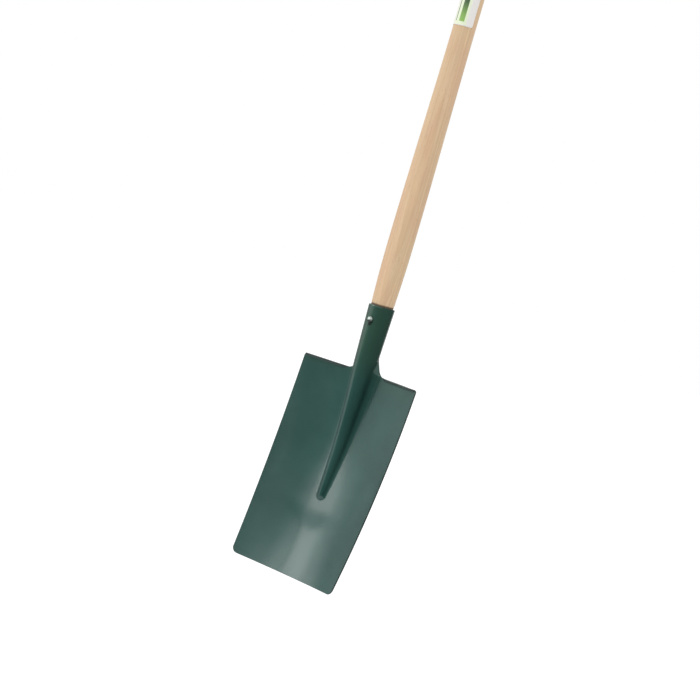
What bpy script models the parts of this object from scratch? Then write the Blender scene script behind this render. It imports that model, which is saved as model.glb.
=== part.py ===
"""A garden spade: pressed steel blade with a rolled socket, turned wooden shaft and T-grip.

Metres, +Z up along the shaft, dished front face towards -Y. The origin is the middle of the
T-grip. The blade, socket and shaft are laid out from the tread, which is the blade's top edge.
"""

import functools
import math

import bmesh
import bpy

# Blade, laid out down from the tread
BLADE_LENGTH = 0.287
BLADE_TREAD_WIDTH = 0.200
BLADE_FOOT_WIDTH = 0.183
BLADE_SIDE_BOW = 0.0018
BLADE_SHEET = 0.0018
FOOT_CORNER_RADIUS = 0.008
FOOT_BOW = 0.0024

# Dish: the side edges stand before the shaft's axis, lean forward and curve further forward
# towards the foot. The middle lies behind them.
EDGE_FORWARD = 0.0073
EDGE_LEAN_TRAVEL = 0.0214
EDGE_CURVE_TRAVEL = 0.0216
DISH_AT_TREAD = 0.0153
DISH_AT_NOSE = 0.0188
DISH_AT_FOOT = 0.0145

# Tread: the top edge turned forward for the foot
TREAD_BEND_RADIUS = 0.0030
TREAD_DEPTH = 0.0050
TREAD_RUN_OUT = 0.011
TREAD_END_SHARE = 0.36
TREAD_CORNER_CUT = 0.009
TREAD_CORNER_RADIUS = 0.0045

# Ridge: the front of the socket carried down the blade to a round nose
RIDGE_LENGTH = 0.183
RIDGE_TREAD_HALF_WIDTH = 0.0250
RIDGE_NOSE_HALF_WIDTH = 0.0085
RIDGE_NOSE_HEIGHT = 0.0036
RIDGE_NOSE_ROUND = 0.016

# Flare: the press leaves the sheet flatter across, in a shield round the ridge's nose
FLARE_START = 0.070
FLARE_WIDEST = 0.192
FLARE_END = 0.212
FLARE_HALF_WIDTH = 0.029
FLARE_FLATNESS = 0.5
FLARE_EDGE_POWER = 5

# Socket: the neck of the sheet rolled round the shaft, open at the back near the tread
SOCKET_HEIGHT = 0.0908
SOCKET_RIM_DIAMETER = 0.0363
SOCKET_NECK_DIAMETER = 0.0306
NECK_FILLET_RADIUS = 0.008
NECK_ROLL_HEIGHT = 0.026
NECK_HALF_ANGLE = math.radians(128)
SEAM_CLOSED_HEIGHT = 0.062
SEAM_GAP = 0.0016

# Shaft, laid out from the socket's rim
SHAFT_RIM_DIAMETER = 0.0308
SHAFT_SWELL_DIAMETER = 0.0350
SHAFT_TOP_DIAMETER = 0.0305
SWELL_ABOVE_RIM = 0.090
SWELL_RUN_OUT = 0.320
TAPERED_END_LENGTH = 0.076
TAPERED_END_DIAMETER = 0.009

# T-grip
GRIP_ABOVE_TREAD = 0.780
GRIP_LENGTH = 0.126
GRIP_MIDDLE_DIAMETER = 0.037
GRIP_END_DIAMETER = 0.031
GRIP_END_ROUND = 0.0055
TENON_DIAMETER = 0.0200
COPE_MARGIN = 0.0030
WEDGE_TOP_THICKNESS = 0.0032
WEDGE_TIP_THICKNESS = 0.0012
WEDGE_DEPTH = 0.0150
WEDGE_MARGIN = 0.0006
WEDGE_OVER_HEIGHT = 0.0018
PIN_DIAMETER = 0.0040
PIN_CHAMFER = 0.0004
PIN_BELOW_MIDDLE = 0.0045
PIN_RECESS = 0.0003

# Socket nail
NAIL_BELOW_RIM = 0.0203
NAIL_HEAD_DIAMETER = 0.0086
NAIL_HEAD_HEIGHT = 0.0022
NAIL_HEAD_EDGE = 0.0004
NAIL_DOME_POWER = 0.8
NAIL_SHANK_DIAMETER = 0.0034
NAIL_LENGTH = 0.022

# Paper label round the shaft's front
LABEL_ABOVE_RIM = 0.3872
LABEL_LENGTH = 0.110
LABEL_HALF_ANGLE = math.radians(77)
LABEL_THICKNESS = 0.0003

# Running fit between neighbouring pieces
FIT = 0.0003

# Facets
ARCH_STEPS = 6
THROAT_STEPS = 5
PLAIN_STEPS = 3
WING_STEPS = 8
FILLET_STEPS = 5
ROLL_STEPS = 4
SEAM_STEPS = 5
BARREL_STEPS = 2
RIDGE_STEPS = 14
NOSE_STEPS = 6
FOOT_STEPS = 6
CORNER_STEPS = 3
BEND_STEPS = 3
SWELL_STEPS = 6
RUN_OUT_STEPS = 10
GRIP_ROUND_STEPS = 4
GRIP_BARREL_STEPS = 12
NAIL_DOME_STEPS = 4
LABEL_COLUMNS = 16
LABEL_ROWS = 4
TURNED_STEPS = 36
SMALL_TURNED_STEPS = 16

LEAST_NOSE_SHARE = 0.02

INNER_COLUMNS = ARCH_STEPS + THROAT_STEPS + PLAIN_STEPS
NECK_RADIUS = (SOCKET_NECK_DIAMETER - BLADE_SHEET) / 2
RIM_RADIUS = (SOCKET_RIM_DIAMETER - BLADE_SHEET) / 2


def mix(start, end, share):
    """Straight blend from start to end."""
    return start + (end - start) * share


def ease(share):
    """Smooth step from 0 to 1, held outside that range."""
    share = min(max(share, 0.0), 1.0)
    return share * share * (3 - 2 * share)


def socket_radius(height):
    """Middle of the socket's sheet at a height above the tread."""
    return mix(NECK_RADIUS, RIM_RADIUS, height / SOCKET_HEIGHT)


def edge_y(depth):
    """Where the side edges lie, at a depth below the tread."""
    share = depth / BLADE_LENGTH
    return -EDGE_FORWARD - EDGE_LEAN_TRAVEL * share - EDGE_CURVE_TRAVEL * share * share


def dish_depth(depth):
    """How far the middle lies behind the side edges: a parabola through three set depths."""
    nose, foot = RIDGE_LENGTH, BLADE_LENGTH
    at_tread = DISH_AT_TREAD * (depth - nose) * (depth - foot) / (nose * foot)
    at_nose = DISH_AT_NOSE * depth * (depth - foot) / (nose * (nose - foot))
    at_foot = DISH_AT_FOOT * depth * (depth - nose) / (foot * (foot - nose))
    return at_tread + at_nose + at_foot


def straight_half_width(depth):
    """Half the blade's width, before its foot corners are rounded."""
    share = depth / BLADE_LENGTH
    straight = mix(BLADE_TREAD_WIDTH, BLADE_FOOT_WIDTH, share) / 2
    return straight + BLADE_SIDE_BOW * 4 * share * (1 - share)


def corner_inset(radius, into_corner):
    """How far a round corner draws the edge in, at a distance into it."""
    return radius - math.sqrt(max(radius ** 2 - max(into_corner, 0.0) ** 2, 0.0))


def foot_half_width(depth):
    """Half the blade's width, drawn in round each foot corner."""
    into_corner = depth - (BLADE_LENGTH - FOOT_CORNER_RADIUS)
    return straight_half_width(depth) - corner_inset(FOOT_CORNER_RADIUS, into_corner)


def half_width(depth):
    """Half the blade's width, drawn in round the foot corners and the tread corners."""
    return foot_half_width(depth) - corner_inset(TREAD_CORNER_RADIUS, TREAD_CORNER_RADIUS - depth)


def dished_y(x, depth):
    """The plain dished sheet, without the ridge and its flare."""
    across = x / straight_half_width(depth)
    return edge_y(depth) + dish_depth(depth) * (1 - across * across)


def flare_half_width(depth):
    """Half the flare's width: it opens like a sine, and closes squarely below the nose.

    It closes with a square root, because the flare's depth goes with its width squared.
    """
    if depth <= FLARE_START or depth >= FLARE_END:
        return 0.0
    opening = min((depth - FLARE_START) / (FLARE_WIDEST - FLARE_START), 1.0)
    closing = max((depth - FLARE_WIDEST) / (FLARE_END - FLARE_WIDEST), 0.0)
    return FLARE_HALF_WIDTH * math.sin(math.pi / 2 * opening) * math.sqrt(1 - ease(closing))


def flared_x(x, depth):
    """Inside the flare the sheet lies as far forward as at this distance: x, held at its edge."""
    power = FLARE_EDGE_POWER
    return (x ** power + flare_half_width(depth) ** power) ** (1 / power)


def plate_y(x, depth):
    """The dished sheet with the flare, without the ridge."""
    return mix(dished_y(x, depth), dished_y(flared_x(x, depth), depth), FLARE_FLATNESS)


def plate_slope(x, depth):
    """Angle at which the sheet comes forward, going outward."""
    half = straight_half_width(depth)
    held = flared_x(x, depth)
    share = (x / held) ** (FLARE_EDGE_POWER - 1) * held
    return math.atan(2 * dish_depth(depth) * mix(x, share, FLARE_FLATNESS) / (half * half))


class RidgeSection:
    """One cross-section of the ridge: a round arch, and a throat that turns out to the sheet."""

    def __init__(self, depth, nose_share=1.0):
        down = min(depth / RIDGE_LENGTH, 1.0)
        self.depth = depth
        self.foot_x = mix(RIDGE_TREAD_HALF_WIDTH, RIDGE_NOSE_HALF_WIDTH, down) * nose_share
        self.foot_y = plate_y(self.foot_x, depth)
        self.foot_slope = plate_slope(self.foot_x, depth)
        self.arch_radius = NECK_RADIUS * self.foot_x / RIDGE_TREAD_HALF_WIDTH
        tread_height = dished_y(0.0, 0.0) + NECK_RADIUS
        height = mix(tread_height, RIDGE_NOSE_HEIGHT, down) * nose_share
        self.crest_y = plate_y(0.0, depth) - height
        self.flank_angle = self.flank_that_meets_the_sheet()
        self.throat_radius = self.throat_radius_at(self.flank_angle)
        self.arch_x = self.arch_radius * math.sin(self.flank_angle)
        self.throat_x = self.foot_x - self.throat_radius * math.sin(self.foot_slope)
        self.throat_y = self.foot_y - self.throat_radius * math.cos(self.foot_slope)

    def throat_radius_at(self, flank):
        """Radius of the throat that leads from a flank's end out to the ridge's foot."""
        across = self.foot_x - self.arch_radius * math.sin(flank)
        return across / (math.sin(flank) + math.sin(self.foot_slope))

    def flank_that_meets_the_sheet(self):
        """Steepest angle of the flank, found by halving, so that the throat runs into the sheet."""
        rise = self.foot_y - self.crest_y
        low, high = math.radians(1), math.radians(89)
        for _ in range(40):
            flank = (low + high) / 2
            throat = self.throat_radius_at(flank)
            reached = self.arch_radius * (1 - math.cos(flank))
            reached += throat * (math.cos(self.foot_slope) - math.cos(flank))
            if reached < rise:
                low = flank
            else:
                high = flank
        return flank

    def half_length(self):
        """Length of sheet from the middle to the ridge's foot."""
        throat = self.throat_radius * (self.flank_angle + self.foot_slope)
        return self.arch_radius * self.flank_angle + throat

    def x_at(self, column, outer_x):
        """Where an inner column lies: over the arch, through the throat, then to an outer line."""
        if column <= ARCH_STEPS:
            return self.arch_radius * math.sin(self.flank_angle * column / ARCH_STEPS)
        if column <= ARCH_STEPS + THROAT_STEPS:
            turn = mix(self.flank_angle, -self.foot_slope, (column - ARCH_STEPS) / THROAT_STEPS)
            return self.throat_x - self.throat_radius * math.sin(turn)
        along = (column - ARCH_STEPS - THROAT_STEPS) / PLAIN_STEPS
        return mix(self.foot_x, outer_x, along)

    def y_at(self, x):
        """The ridge's front at a distance from the middle."""
        if x >= self.foot_x:
            return plate_y(x, self.depth)
        if x <= self.arch_x:
            return self.crest_y + self.arch_radius - math.sqrt(self.arch_radius ** 2 - x * x)
        return self.throat_y + math.sqrt(self.throat_radius ** 2 - (x - self.throat_x) ** 2)


@functools.cache
def ridge_section(depth, nose_share=1.0):
    """The ridge's section at a depth, worked out once."""
    return RidgeSection(depth, nose_share)


def neck_length():
    """Half the neck's width of sheet, between its fillet and the height where it is rolled."""
    return socket_radius(NECK_ROLL_HEIGHT) * NECK_HALF_ANGLE


def fillet_foot_x(depth):
    """Where the neck fillet meets the tread, kept as a line of the sheet down to the foot."""
    tread = RIDGE_TREAD_HALF_WIDTH + neck_length() + NECK_FILLET_RADIUS - tread_length()
    return tread * straight_half_width(depth) / straight_half_width(0.0)


def tread_length():
    """Length of sheet from the middle to the ridge's foot, at the tread."""
    return ridge_section(0.0).half_length()


def sheet_point(depth, x):
    """A point of the sheet below the tread, with the ridge on it."""
    nose_start = RIDGE_LENGTH - RIDGE_NOSE_ROUND
    into_nose = (depth - nose_start) / RIDGE_NOSE_ROUND
    nose_share = math.sqrt(max(1 - max(into_nose, 0.0) ** 2, 0.0))
    y = plate_y(x, depth)
    if nose_share > LEAST_NOSE_SHARE:
        y = ridge_section(depth, nose_share).y_at(x)
    sag = ease((depth - RIDGE_LENGTH) / (BLADE_LENGTH - RIDGE_LENGTH))
    bow = FOOT_BOW * sag * (1 - (x / straight_half_width(depth)) ** 2)
    return (x, y, -depth - bow)


def blade_row(depth):
    """The inner columns of the sheet at one depth below the tread."""
    ridge = ridge_section(min(depth, RIDGE_LENGTH))
    row = []
    for column in range(INNER_COLUMNS + 1):
        x = ridge.x_at(column, fillet_foot_x(depth))
        row.append(sheet_point(depth, x * foot_half_width(depth) / straight_half_width(depth)))
    return row


def rolled_point(height, length):
    """A point of the neck or socket, at a length of sheet from the front's middle."""
    tread = ridge_section(0.0)
    radius = socket_radius(height)
    up = min(height / NECK_ROLL_HEIGHT, 1.0)
    flank = mix(tread.flank_angle, NECK_HALF_ANGLE, up) if up < 1.0 else math.pi
    if length <= radius * flank:
        turn = length / radius
        return (radius * math.sin(turn), -radius * math.cos(turn), height)
    throat = tread.throat_radius
    turn = flank - (length - radius * flank) / throat
    beyond = max(-tread.foot_slope - turn, 0.0) * throat * math.cos(tread.foot_slope)
    turn = max(turn, -tread.foot_slope)
    x = radius * math.sin(flank) + throat * (math.sin(flank) - math.sin(turn)) + beyond
    y = -radius * math.cos(flank) + throat * (math.cos(turn) - math.cos(flank))
    y += dished_y(tread.foot_x + beyond, 0.0) - tread.foot_y
    return (x, y, height)


def tread_lengths():
    """Length of sheet from the middle to each inner column, at the tread."""
    tread = ridge_section(0.0)
    lengths = []
    for column in range(INNER_COLUMNS + 1):
        if column <= ARCH_STEPS:
            length = tread.arch_radius * tread.flank_angle * column / ARCH_STEPS
        elif column <= ARCH_STEPS + THROAT_STEPS:
            arch = tread.arch_radius * tread.flank_angle
            length = mix(arch, tread.half_length(), (column - ARCH_STEPS) / THROAT_STEPS)
        else:
            along = (column - ARCH_STEPS - THROAT_STEPS) / PLAIN_STEPS
            length = mix(tread.half_length(), neck_length() + NECK_FILLET_RADIUS, along)
        lengths.append(length)
    return lengths


def rolled_row(height, half_length):
    """The inner columns above the tread, evened out as the sheet rolls up into the socket."""
    lengths = tread_lengths()
    evened = ease(height / NECK_ROLL_HEIGHT)
    row = []
    for column in range(INNER_COLUMNS + 1):
        share = mix(lengths[column] / lengths[-1], column / INNER_COLUMNS, evened)
        row.append(rolled_point(height, share * half_length))
    return row


def neck_rows():
    """Rows from the tread up round the neck's fillet, and on to where the sheet is rolled."""
    rows = []
    for step in range(1, FILLET_STEPS + 1):
        angle = math.pi / 2 * step / FILLET_STEPS
        height = NECK_FILLET_RADIUS * (1 - math.cos(angle))
        half_length = neck_length() + NECK_FILLET_RADIUS * (1 - math.sin(angle))
        rows.append(rolled_row(height, half_length))
    for step in range(1, ROLL_STEPS + 1):
        height = mix(NECK_FILLET_RADIUS, NECK_ROLL_HEIGHT, step / ROLL_STEPS)
        rows.append(rolled_row(height, neck_length()))
    return rows


def socket_rows():
    """Rows of the socket, whose back edges close to a narrow seam on the way up."""
    rows = []
    for step in range(1, SEAM_STEPS + BARREL_STEPS + 1):
        if step <= SEAM_STEPS:
            height = mix(NECK_ROLL_HEIGHT, SEAM_CLOSED_HEIGHT, step / SEAM_STEPS)
        else:
            height = mix(SEAM_CLOSED_HEIGHT, SOCKET_HEIGHT, (step - SEAM_STEPS) / BARREL_STEPS)
        closing = ease((height - NECK_ROLL_HEIGHT) / (SEAM_CLOSED_HEIGHT - NECK_ROLL_HEIGHT))
        radius = socket_radius(height)
        closed = math.pi - SEAM_GAP / 2 / radius
        rows.append(rolled_row(height, radius * mix(NECK_HALF_ANGLE, closed, closing)))
    return rows


def blade_depths():
    """Depths of the rows below the tread, closer together round the nose and the corners."""
    nose_start = RIDGE_LENGTH - RIDGE_NOSE_ROUND
    corner_start = BLADE_LENGTH - FOOT_CORNER_RADIUS
    depths = [TREAD_BEND_RADIUS + BLADE_SHEET / 2 + TREAD_CORNER_RADIUS / 2]
    depths += [nose_start * step / RIDGE_STEPS for step in range(1, RIDGE_STEPS + 1)]
    for step in range(1, NOSE_STEPS + 1):
        depths.append(nose_start + RIDGE_NOSE_ROUND * math.sin(math.pi / 2 * step / NOSE_STEPS))
    for step in range(1, FOOT_STEPS + 1):
        depths.append(mix(RIDGE_LENGTH, corner_start, step / FOOT_STEPS))
    for step in range(1, CORNER_STEPS + 1):
        depths.append(corner_start + FOOT_CORNER_RADIUS * math.sin(math.pi / 2 * step / CORNER_STEPS))
    return depths


def wing_x(depth, step):
    """Outer columns, from the fillet's line to the side edge, closer together near both."""
    inner = fillet_foot_x(depth) * foot_half_width(depth) / straight_half_width(depth)
    share = (1 - math.cos(math.pi * step / WING_STEPS)) / 2
    return mix(inner, half_width(depth), share)


def tread_share(x):
    """How much of the turned tread is there: less near the neck, and cut back at the corner."""
    run = (x - fillet_foot_x(0.0)) / TREAD_RUN_OUT
    left = min((half_width(0.0) - x) / TREAD_CORNER_CUT, 1.0)
    return mix(TREAD_END_SHARE, 1.0, ease(run) * left * (2 - left))


def tread_column(x):
    """One column of the turned tread, from the sheet up round the bend and forward."""
    share = tread_share(x)
    bend = TREAD_BEND_RADIUS * share
    top = -BLADE_SHEET / 2
    start = sheet_point(bend - top, x)
    points = [start]
    for step in range(1, BEND_STEPS + 1):
        angle = math.pi / 2 * step / BEND_STEPS
        forward = bend * (1 - math.cos(angle))
        points.append((x, start[1] - forward, top - bend + bend * math.sin(angle)))
    points.append((x, start[1] - bend - TREAD_DEPTH * share, top))
    return points


def join_rows(mesh, upper, lower):
    """Faces between two rows of vertices."""
    for left in range(len(upper) - 1):
        mesh.faces.new((upper[left], lower[left], lower[left + 1], upper[left + 1]))


def half_blade_mesh():
    """The right half of the sheet: socket, neck, ridge, wing and turned tread."""
    mesh = bmesh.new()
    rolled = list(reversed(neck_rows() + socket_rows()))
    rows = [[mesh.verts.new(point) for point in row] for row in rolled]
    tread = [tread_column(wing_x(0.0, step)) for step in range(WING_STEPS + 1)]
    inner = [mesh.verts.new(point) for point in blade_row(0.0)]
    inner[-1].co = tread[0][0]
    rows.append(inner)
    for upper, lower in zip(rows, rows[1:]):
        join_rows(mesh, upper, lower)

    levels = [[inner[-1]] + [mesh.verts.new(column[0]) for column in tread[1:]]]
    for level in range(1, BEND_STEPS + 2):
        levels.append([mesh.verts.new(column[level]) for column in tread])
    for lower, upper in zip(levels, levels[1:]):
        join_rows(mesh, upper, lower)

    above = inner + levels[0][1:]
    for depth in blade_depths():
        points = blade_row(depth)
        points += [sheet_point(depth, wing_x(depth, step)) for step in range(1, WING_STEPS + 1)]
        below = [mesh.verts.new(point) for point in points]
        join_rows(mesh, above, below)
        above = below

    data = bpy.data.meshes.new("blade_half")
    mesh.to_mesh(data)
    mesh.free()
    return data


def shaft_radius(height):
    """The turned shaft above the socket's rim."""
    if height <= SWELL_ABOVE_RIM:
        short = 1 - height / SWELL_ABOVE_RIM
        return mix(SHAFT_SWELL_DIAMETER, SHAFT_RIM_DIAMETER, short * short) / 2
    run = ease((height - SWELL_ABOVE_RIM) / SWELL_RUN_OUT)
    return mix(SHAFT_SWELL_DIAMETER, SHAFT_TOP_DIAMETER, run) / 2


def seated_radius(height):
    """The shaft inside the socket: it fills the neck, and narrows beside the socket to the rim."""
    at_tread = socket_radius(0.0) - BLADE_SHEET / 2 - FIT
    return mix(at_tread, SHAFT_RIM_DIAMETER / 2, height / SOCKET_HEIGHT)


def grip_radius(x):
    """The T-grip's barrel at a distance from its middle, before its ends are rounded."""
    across = x / (GRIP_LENGTH / 2)
    return mix(GRIP_MIDDLE_DIAMETER, GRIP_END_DIAMETER, across * across) / 2


def new_material(name, color, roughness, metallic=0.0):
    """A plain Principled material."""
    material = bpy.data.materials.new(name)
    material.use_nodes = True
    shader = material.node_tree.nodes["Principled BSDF"]
    shader.inputs["Base Color"].default_value = (*color, 1.0)
    shader.inputs["Roughness"].default_value = roughness
    shader.inputs["Metallic"].default_value = metallic
    material.diffuse_color = (*color, 1.0)
    return material


def add_object(name, data, collection, parent=None, material=None):
    """Link a mesh as a named object, under a parent and with a material."""
    piece = bpy.data.objects.new(name, data)
    collection.objects.link(piece)
    piece.parent = parent
    if material is not None:
        data.materials.append(material)
    return piece


def as_cutter(piece):
    """Keep a helper shape out of the finished spade."""
    piece.hide_render = True
    piece.display_type = "WIRE"
    return piece


def turned(name, profile, collection, parent=None, material=None, steps=TURNED_STEPS):
    """A turned piece: a profile of (radius, height) from its top down, swept about Z."""
    data = bpy.data.meshes.new(name)
    points = [(radius, 0.0, height) for radius, height in profile]
    edges = [(index, index + 1) for index in range(len(points) - 1)]
    data.from_pydata(points, edges, [])
    piece = add_object(name, data, collection, parent, material)
    screw = piece.modifiers.new("turn", "SCREW")
    screw.steps = steps
    screw.render_steps = steps
    screw.use_merge_vertices = True
    screw.merge_threshold = 0.00001
    screw.use_smooth_shade = True
    return piece


def boolean(piece, operation, other):
    """Cut or join one object with another."""
    modifier = piece.modifiers.new(other.name, "BOOLEAN")
    modifier.operation = operation
    modifier.object = other


def hole_cutter(name, radius, length, place, collection, parent):
    """A cylinder along Y, to drill front to back."""
    mesh = bmesh.new()
    bmesh.ops.create_cone(
        mesh, cap_ends=True, segments=SMALL_TURNED_STEPS, radius1=radius, radius2=radius, depth=length
    )
    data = bpy.data.meshes.new(name)
    mesh.to_mesh(data)
    mesh.free()
    cutter = as_cutter(add_object(name, data, collection, parent))
    cutter.location = place
    cutter.rotation_euler = (math.pi / 2, 0.0, 0.0)
    return cutter


def wedge_mesh(name, top_thickness, tip_thickness, top, tip, width):
    """A box that narrows downward, thick along X and wide along Y."""
    mesh = bmesh.new()
    bmesh.ops.create_cube(mesh, size=1.0)
    for vertex in mesh.verts:
        is_top = vertex.co.z > 0
        thickness = top_thickness if is_top else tip_thickness
        vertex.co.x = math.copysign(thickness / 2, vertex.co.x)
        vertex.co.y = math.copysign(width / 2, vertex.co.y)
        vertex.co.z = top if is_top else tip
    data = bpy.data.meshes.new(name)
    mesh.to_mesh(data)
    mesh.free()
    return data


def build_blade(parts, tread, nail_hole, material):
    """The pressed blade with its rolled socket, one sheet of steel."""
    blade = add_object("blade_and_socket", half_blade_mesh(), parts, tread, material)
    mirror = blade.modifiers.new("other_half", "MIRROR")
    mirror.use_clip = True
    mirror.merge_threshold = 0.00001
    sheet = blade.modifiers.new("sheet", "SOLIDIFY")
    sheet.thickness = BLADE_SHEET
    sheet.offset = 0.0
    sheet.use_even_offset = True
    sheet.use_quality_normals = True
    boolean(blade, "DIFFERENCE", nail_hole)
    blade.data.shade_smooth()
    blade.data.set_sharp_from_angle(angle=math.radians(50))
    return blade


def grip_profile(extra):
    """Outline of the T-grip's bar about its own axis, grown by an allowance."""
    half = GRIP_LENGTH / 2
    straight = half - GRIP_END_ROUND
    top_radius = grip_radius(straight)
    flat_radius = top_radius - GRIP_END_ROUND
    profile = [(0.0, half + extra)]
    for step in range(GRIP_ROUND_STEPS + 1):
        angle = math.pi / 2 * step / GRIP_ROUND_STEPS
        out = flat_radius + (GRIP_END_ROUND + extra) * math.sin(angle)
        profile.append((out, straight + (GRIP_END_ROUND + extra) * math.cos(angle)))
    mirrored = [(radius, -height) for radius, height in reversed(profile)]
    for step in range(1, GRIP_BARREL_STEPS):
        along = straight * math.cos(math.pi * step / GRIP_BARREL_STEPS)
        profile.append((grip_radius(along) + extra, along))
    return profile + mirrored


def turned_bar(name, extra, collection, parent=None, material=None):
    """The T-grip's bar, turned about X."""
    bar = turned(name, grip_profile(extra), collection, parent, material)
    bar.rotation_euler = (0.0, math.pi / 2, 0.0)
    return bar


def build_grip(parts, cutters, pin_hole, wood):
    """The crossbar with its mortise and pin hole."""
    grip = turned_bar("t_grip", 0.0, parts, material=wood)
    bore = bmesh.new()
    bmesh.ops.create_cone(
        bore,
        cap_ends=True,
        segments=TURNED_STEPS,
        radius1=TENON_DIAMETER / 2 + FIT,
        radius2=TENON_DIAMETER / 2 + FIT,
        depth=GRIP_MIDDLE_DIAMETER * 2,
    )
    data = bpy.data.meshes.new("mortise_cutter")
    bore.to_mesh(data)
    bore.free()
    mortise = as_cutter(add_object("mortise_cutter", data, cutters))
    boolean(grip, "DIFFERENCE", mortise)
    boolean(grip, "DIFFERENCE", pin_hole)
    return grip


def flush_cutter(cutters):
    """Everything above the crossbar's top, to trim the tenon and wedge flush with it."""
    reach = GRIP_MIDDLE_DIAMETER
    data = wedge_mesh("flush_cutter", reach, reach, reach, GRIP_MIDDLE_DIAMETER / 4, reach)
    cutter = as_cutter(add_object("flush_cutter", data, cutters))
    envelope = as_cutter(turned_bar("grip_envelope", 0.0, cutters))
    boolean(cutter, "DIFFERENCE", envelope)
    return cutter


def wedge_outline(grow):
    """Wedge or kerf: thickness at the top and tip, and the two heights, grown by a fit."""
    top = GRIP_MIDDLE_DIAMETER / 2 + WEDGE_OVER_HEIGHT
    tip = GRIP_MIDDLE_DIAMETER / 2 - WEDGE_DEPTH
    slope = (WEDGE_TOP_THICKNESS - WEDGE_TIP_THICKNESS) / WEDGE_DEPTH
    at_top = WEDGE_TOP_THICKNESS + slope * WEDGE_OVER_HEIGHT
    return at_top + 2 * grow, WEDGE_TIP_THICKNESS + 2 * grow, top, tip - grow


def build_wedge(parts, flush, wood):
    """The hardwood wedge that spreads the tenon in its mortise."""
    data = wedge_mesh("grip_wedge", *wedge_outline(0.0), TENON_DIAMETER - 2 * WEDGE_MARGIN)
    wedge = add_object("grip_wedge", data, parts, material=wood)
    boolean(wedge, "DIFFERENCE", flush)
    return wedge


def build_pin(parts, steel):
    """The steel pin through crossbar and tenon."""
    radius = PIN_DIAMETER / 2
    reach = math.sqrt((GRIP_MIDDLE_DIAMETER / 2) ** 2 - (PIN_BELOW_MIDDLE + radius) ** 2)
    half = reach - PIN_RECESS
    profile = [(0.0, half), (radius - PIN_CHAMFER, half), (radius, half - PIN_CHAMFER)]
    profile += [(r, -h) for r, h in reversed(profile)]
    pin = turned("grip_pin", profile, parts, material=steel, steps=SMALL_TURNED_STEPS)
    pin.location = (0.0, 0.0, -PIN_BELOW_MIDDLE)
    pin.rotation_euler = (math.pi / 2, 0.0, 0.0)
    return pin


def uncoped_height():
    """Height at which the shaft ends inside the crossbar, before it is coped to it."""
    underside = math.sqrt(max(GRIP_MIDDLE_DIAMETER ** 2 - SHAFT_TOP_DIAMETER ** 2, 0.0)) / 2
    return GRIP_ABOVE_TREAD - underside + COPE_MARGIN


def shaft_profile():
    """The shaft from the crossbar down to its tapered end, in heights above the tread."""
    shoulder = uncoped_height()
    above_rim = [shoulder - SOCKET_HEIGHT]
    for step in range(RUN_OUT_STEPS, 0, -1):
        above_rim.append(SWELL_ABOVE_RIM + SWELL_RUN_OUT * step / RUN_OUT_STEPS)
    for step in range(SWELL_STEPS, 0, -1):
        above_rim.append(SWELL_ABOVE_RIM * step / SWELL_STEPS)
    above_rim.append(FIT)
    profile = [(0.0, shoulder)]
    profile += [(shaft_radius(height), SOCKET_HEIGHT + height) for height in above_rim]
    profile.append((seated_radius(0.0), 0.0))
    end = TAPERED_END_DIAMETER / 2
    profile.append((end, -TAPERED_END_LENGTH + end))
    for step in (1, 2):
        angle = math.pi / 2 * step / 3
        profile.append((end * math.cos(angle), -TAPERED_END_LENGTH + end - end * math.sin(angle)))
    profile.append((0.0, -TAPERED_END_LENGTH))
    return profile


def build_shaft(parts, cutters, tread, holes, flush, wood):
    """The turned shaft, coped to the crossbar, with a wedged tenon."""
    shaft = turned("shaft", shaft_profile(), parts, tread, wood)
    cope = as_cutter(turned_bar("cope_cutter", FIT, cutters))
    boolean(shaft, "DIFFERENCE", cope)

    radius = TENON_DIAMETER / 2
    top = GRIP_MIDDLE_DIAMETER
    profile = [(0.0, top), (radius, top), (radius, -top), (0.0, -top)]
    tenon = as_cutter(turned("tenon", profile, cutters))
    boolean(tenon, "DIFFERENCE", flush)
    data = wedge_mesh("kerf_cutter", *wedge_outline(FIT), TENON_DIAMETER * 1.5)
    kerf = as_cutter(add_object("kerf_cutter", data, cutters))
    boolean(tenon, "DIFFERENCE", kerf)
    boolean(shaft, "UNION", tenon)
    for hole in holes:
        boolean(shaft, "DIFFERENCE", hole)
    return shaft


def nail_seat():
    """Where the nail's head sits: just before the socket's front."""
    height = SOCKET_HEIGHT - NAIL_BELOW_RIM
    return (0.0, -socket_radius(height) - BLADE_SHEET / 2 - FIT, height)


def build_nail(parts, tread, steel):
    """The domed nail that holds the shaft in the socket."""
    head = NAIL_HEAD_DIAMETER / 2
    shank = NAIL_SHANK_DIAMETER / 2
    profile = [(0.0, NAIL_HEAD_HEIGHT)]
    for step in range(1, NAIL_DOME_STEPS):
        angle = math.pi / 2 * step / NAIL_DOME_STEPS
        height = NAIL_HEAD_HEIGHT * math.cos(angle) ** NAIL_DOME_POWER
        profile.append((head * math.sin(angle), height))
    profile += [(head, NAIL_HEAD_EDGE), (head, 0.0)]
    profile += [(shank, 0.0), (shank, -NAIL_LENGTH + 2 * shank), (0.0, -NAIL_LENGTH)]
    nail = turned("socket_nail", profile, parts, tread, steel, SMALL_TURNED_STEPS)
    nail.location = nail_seat()
    nail.rotation_euler = (math.pi / 2, 0.0, 0.0)
    return nail


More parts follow.
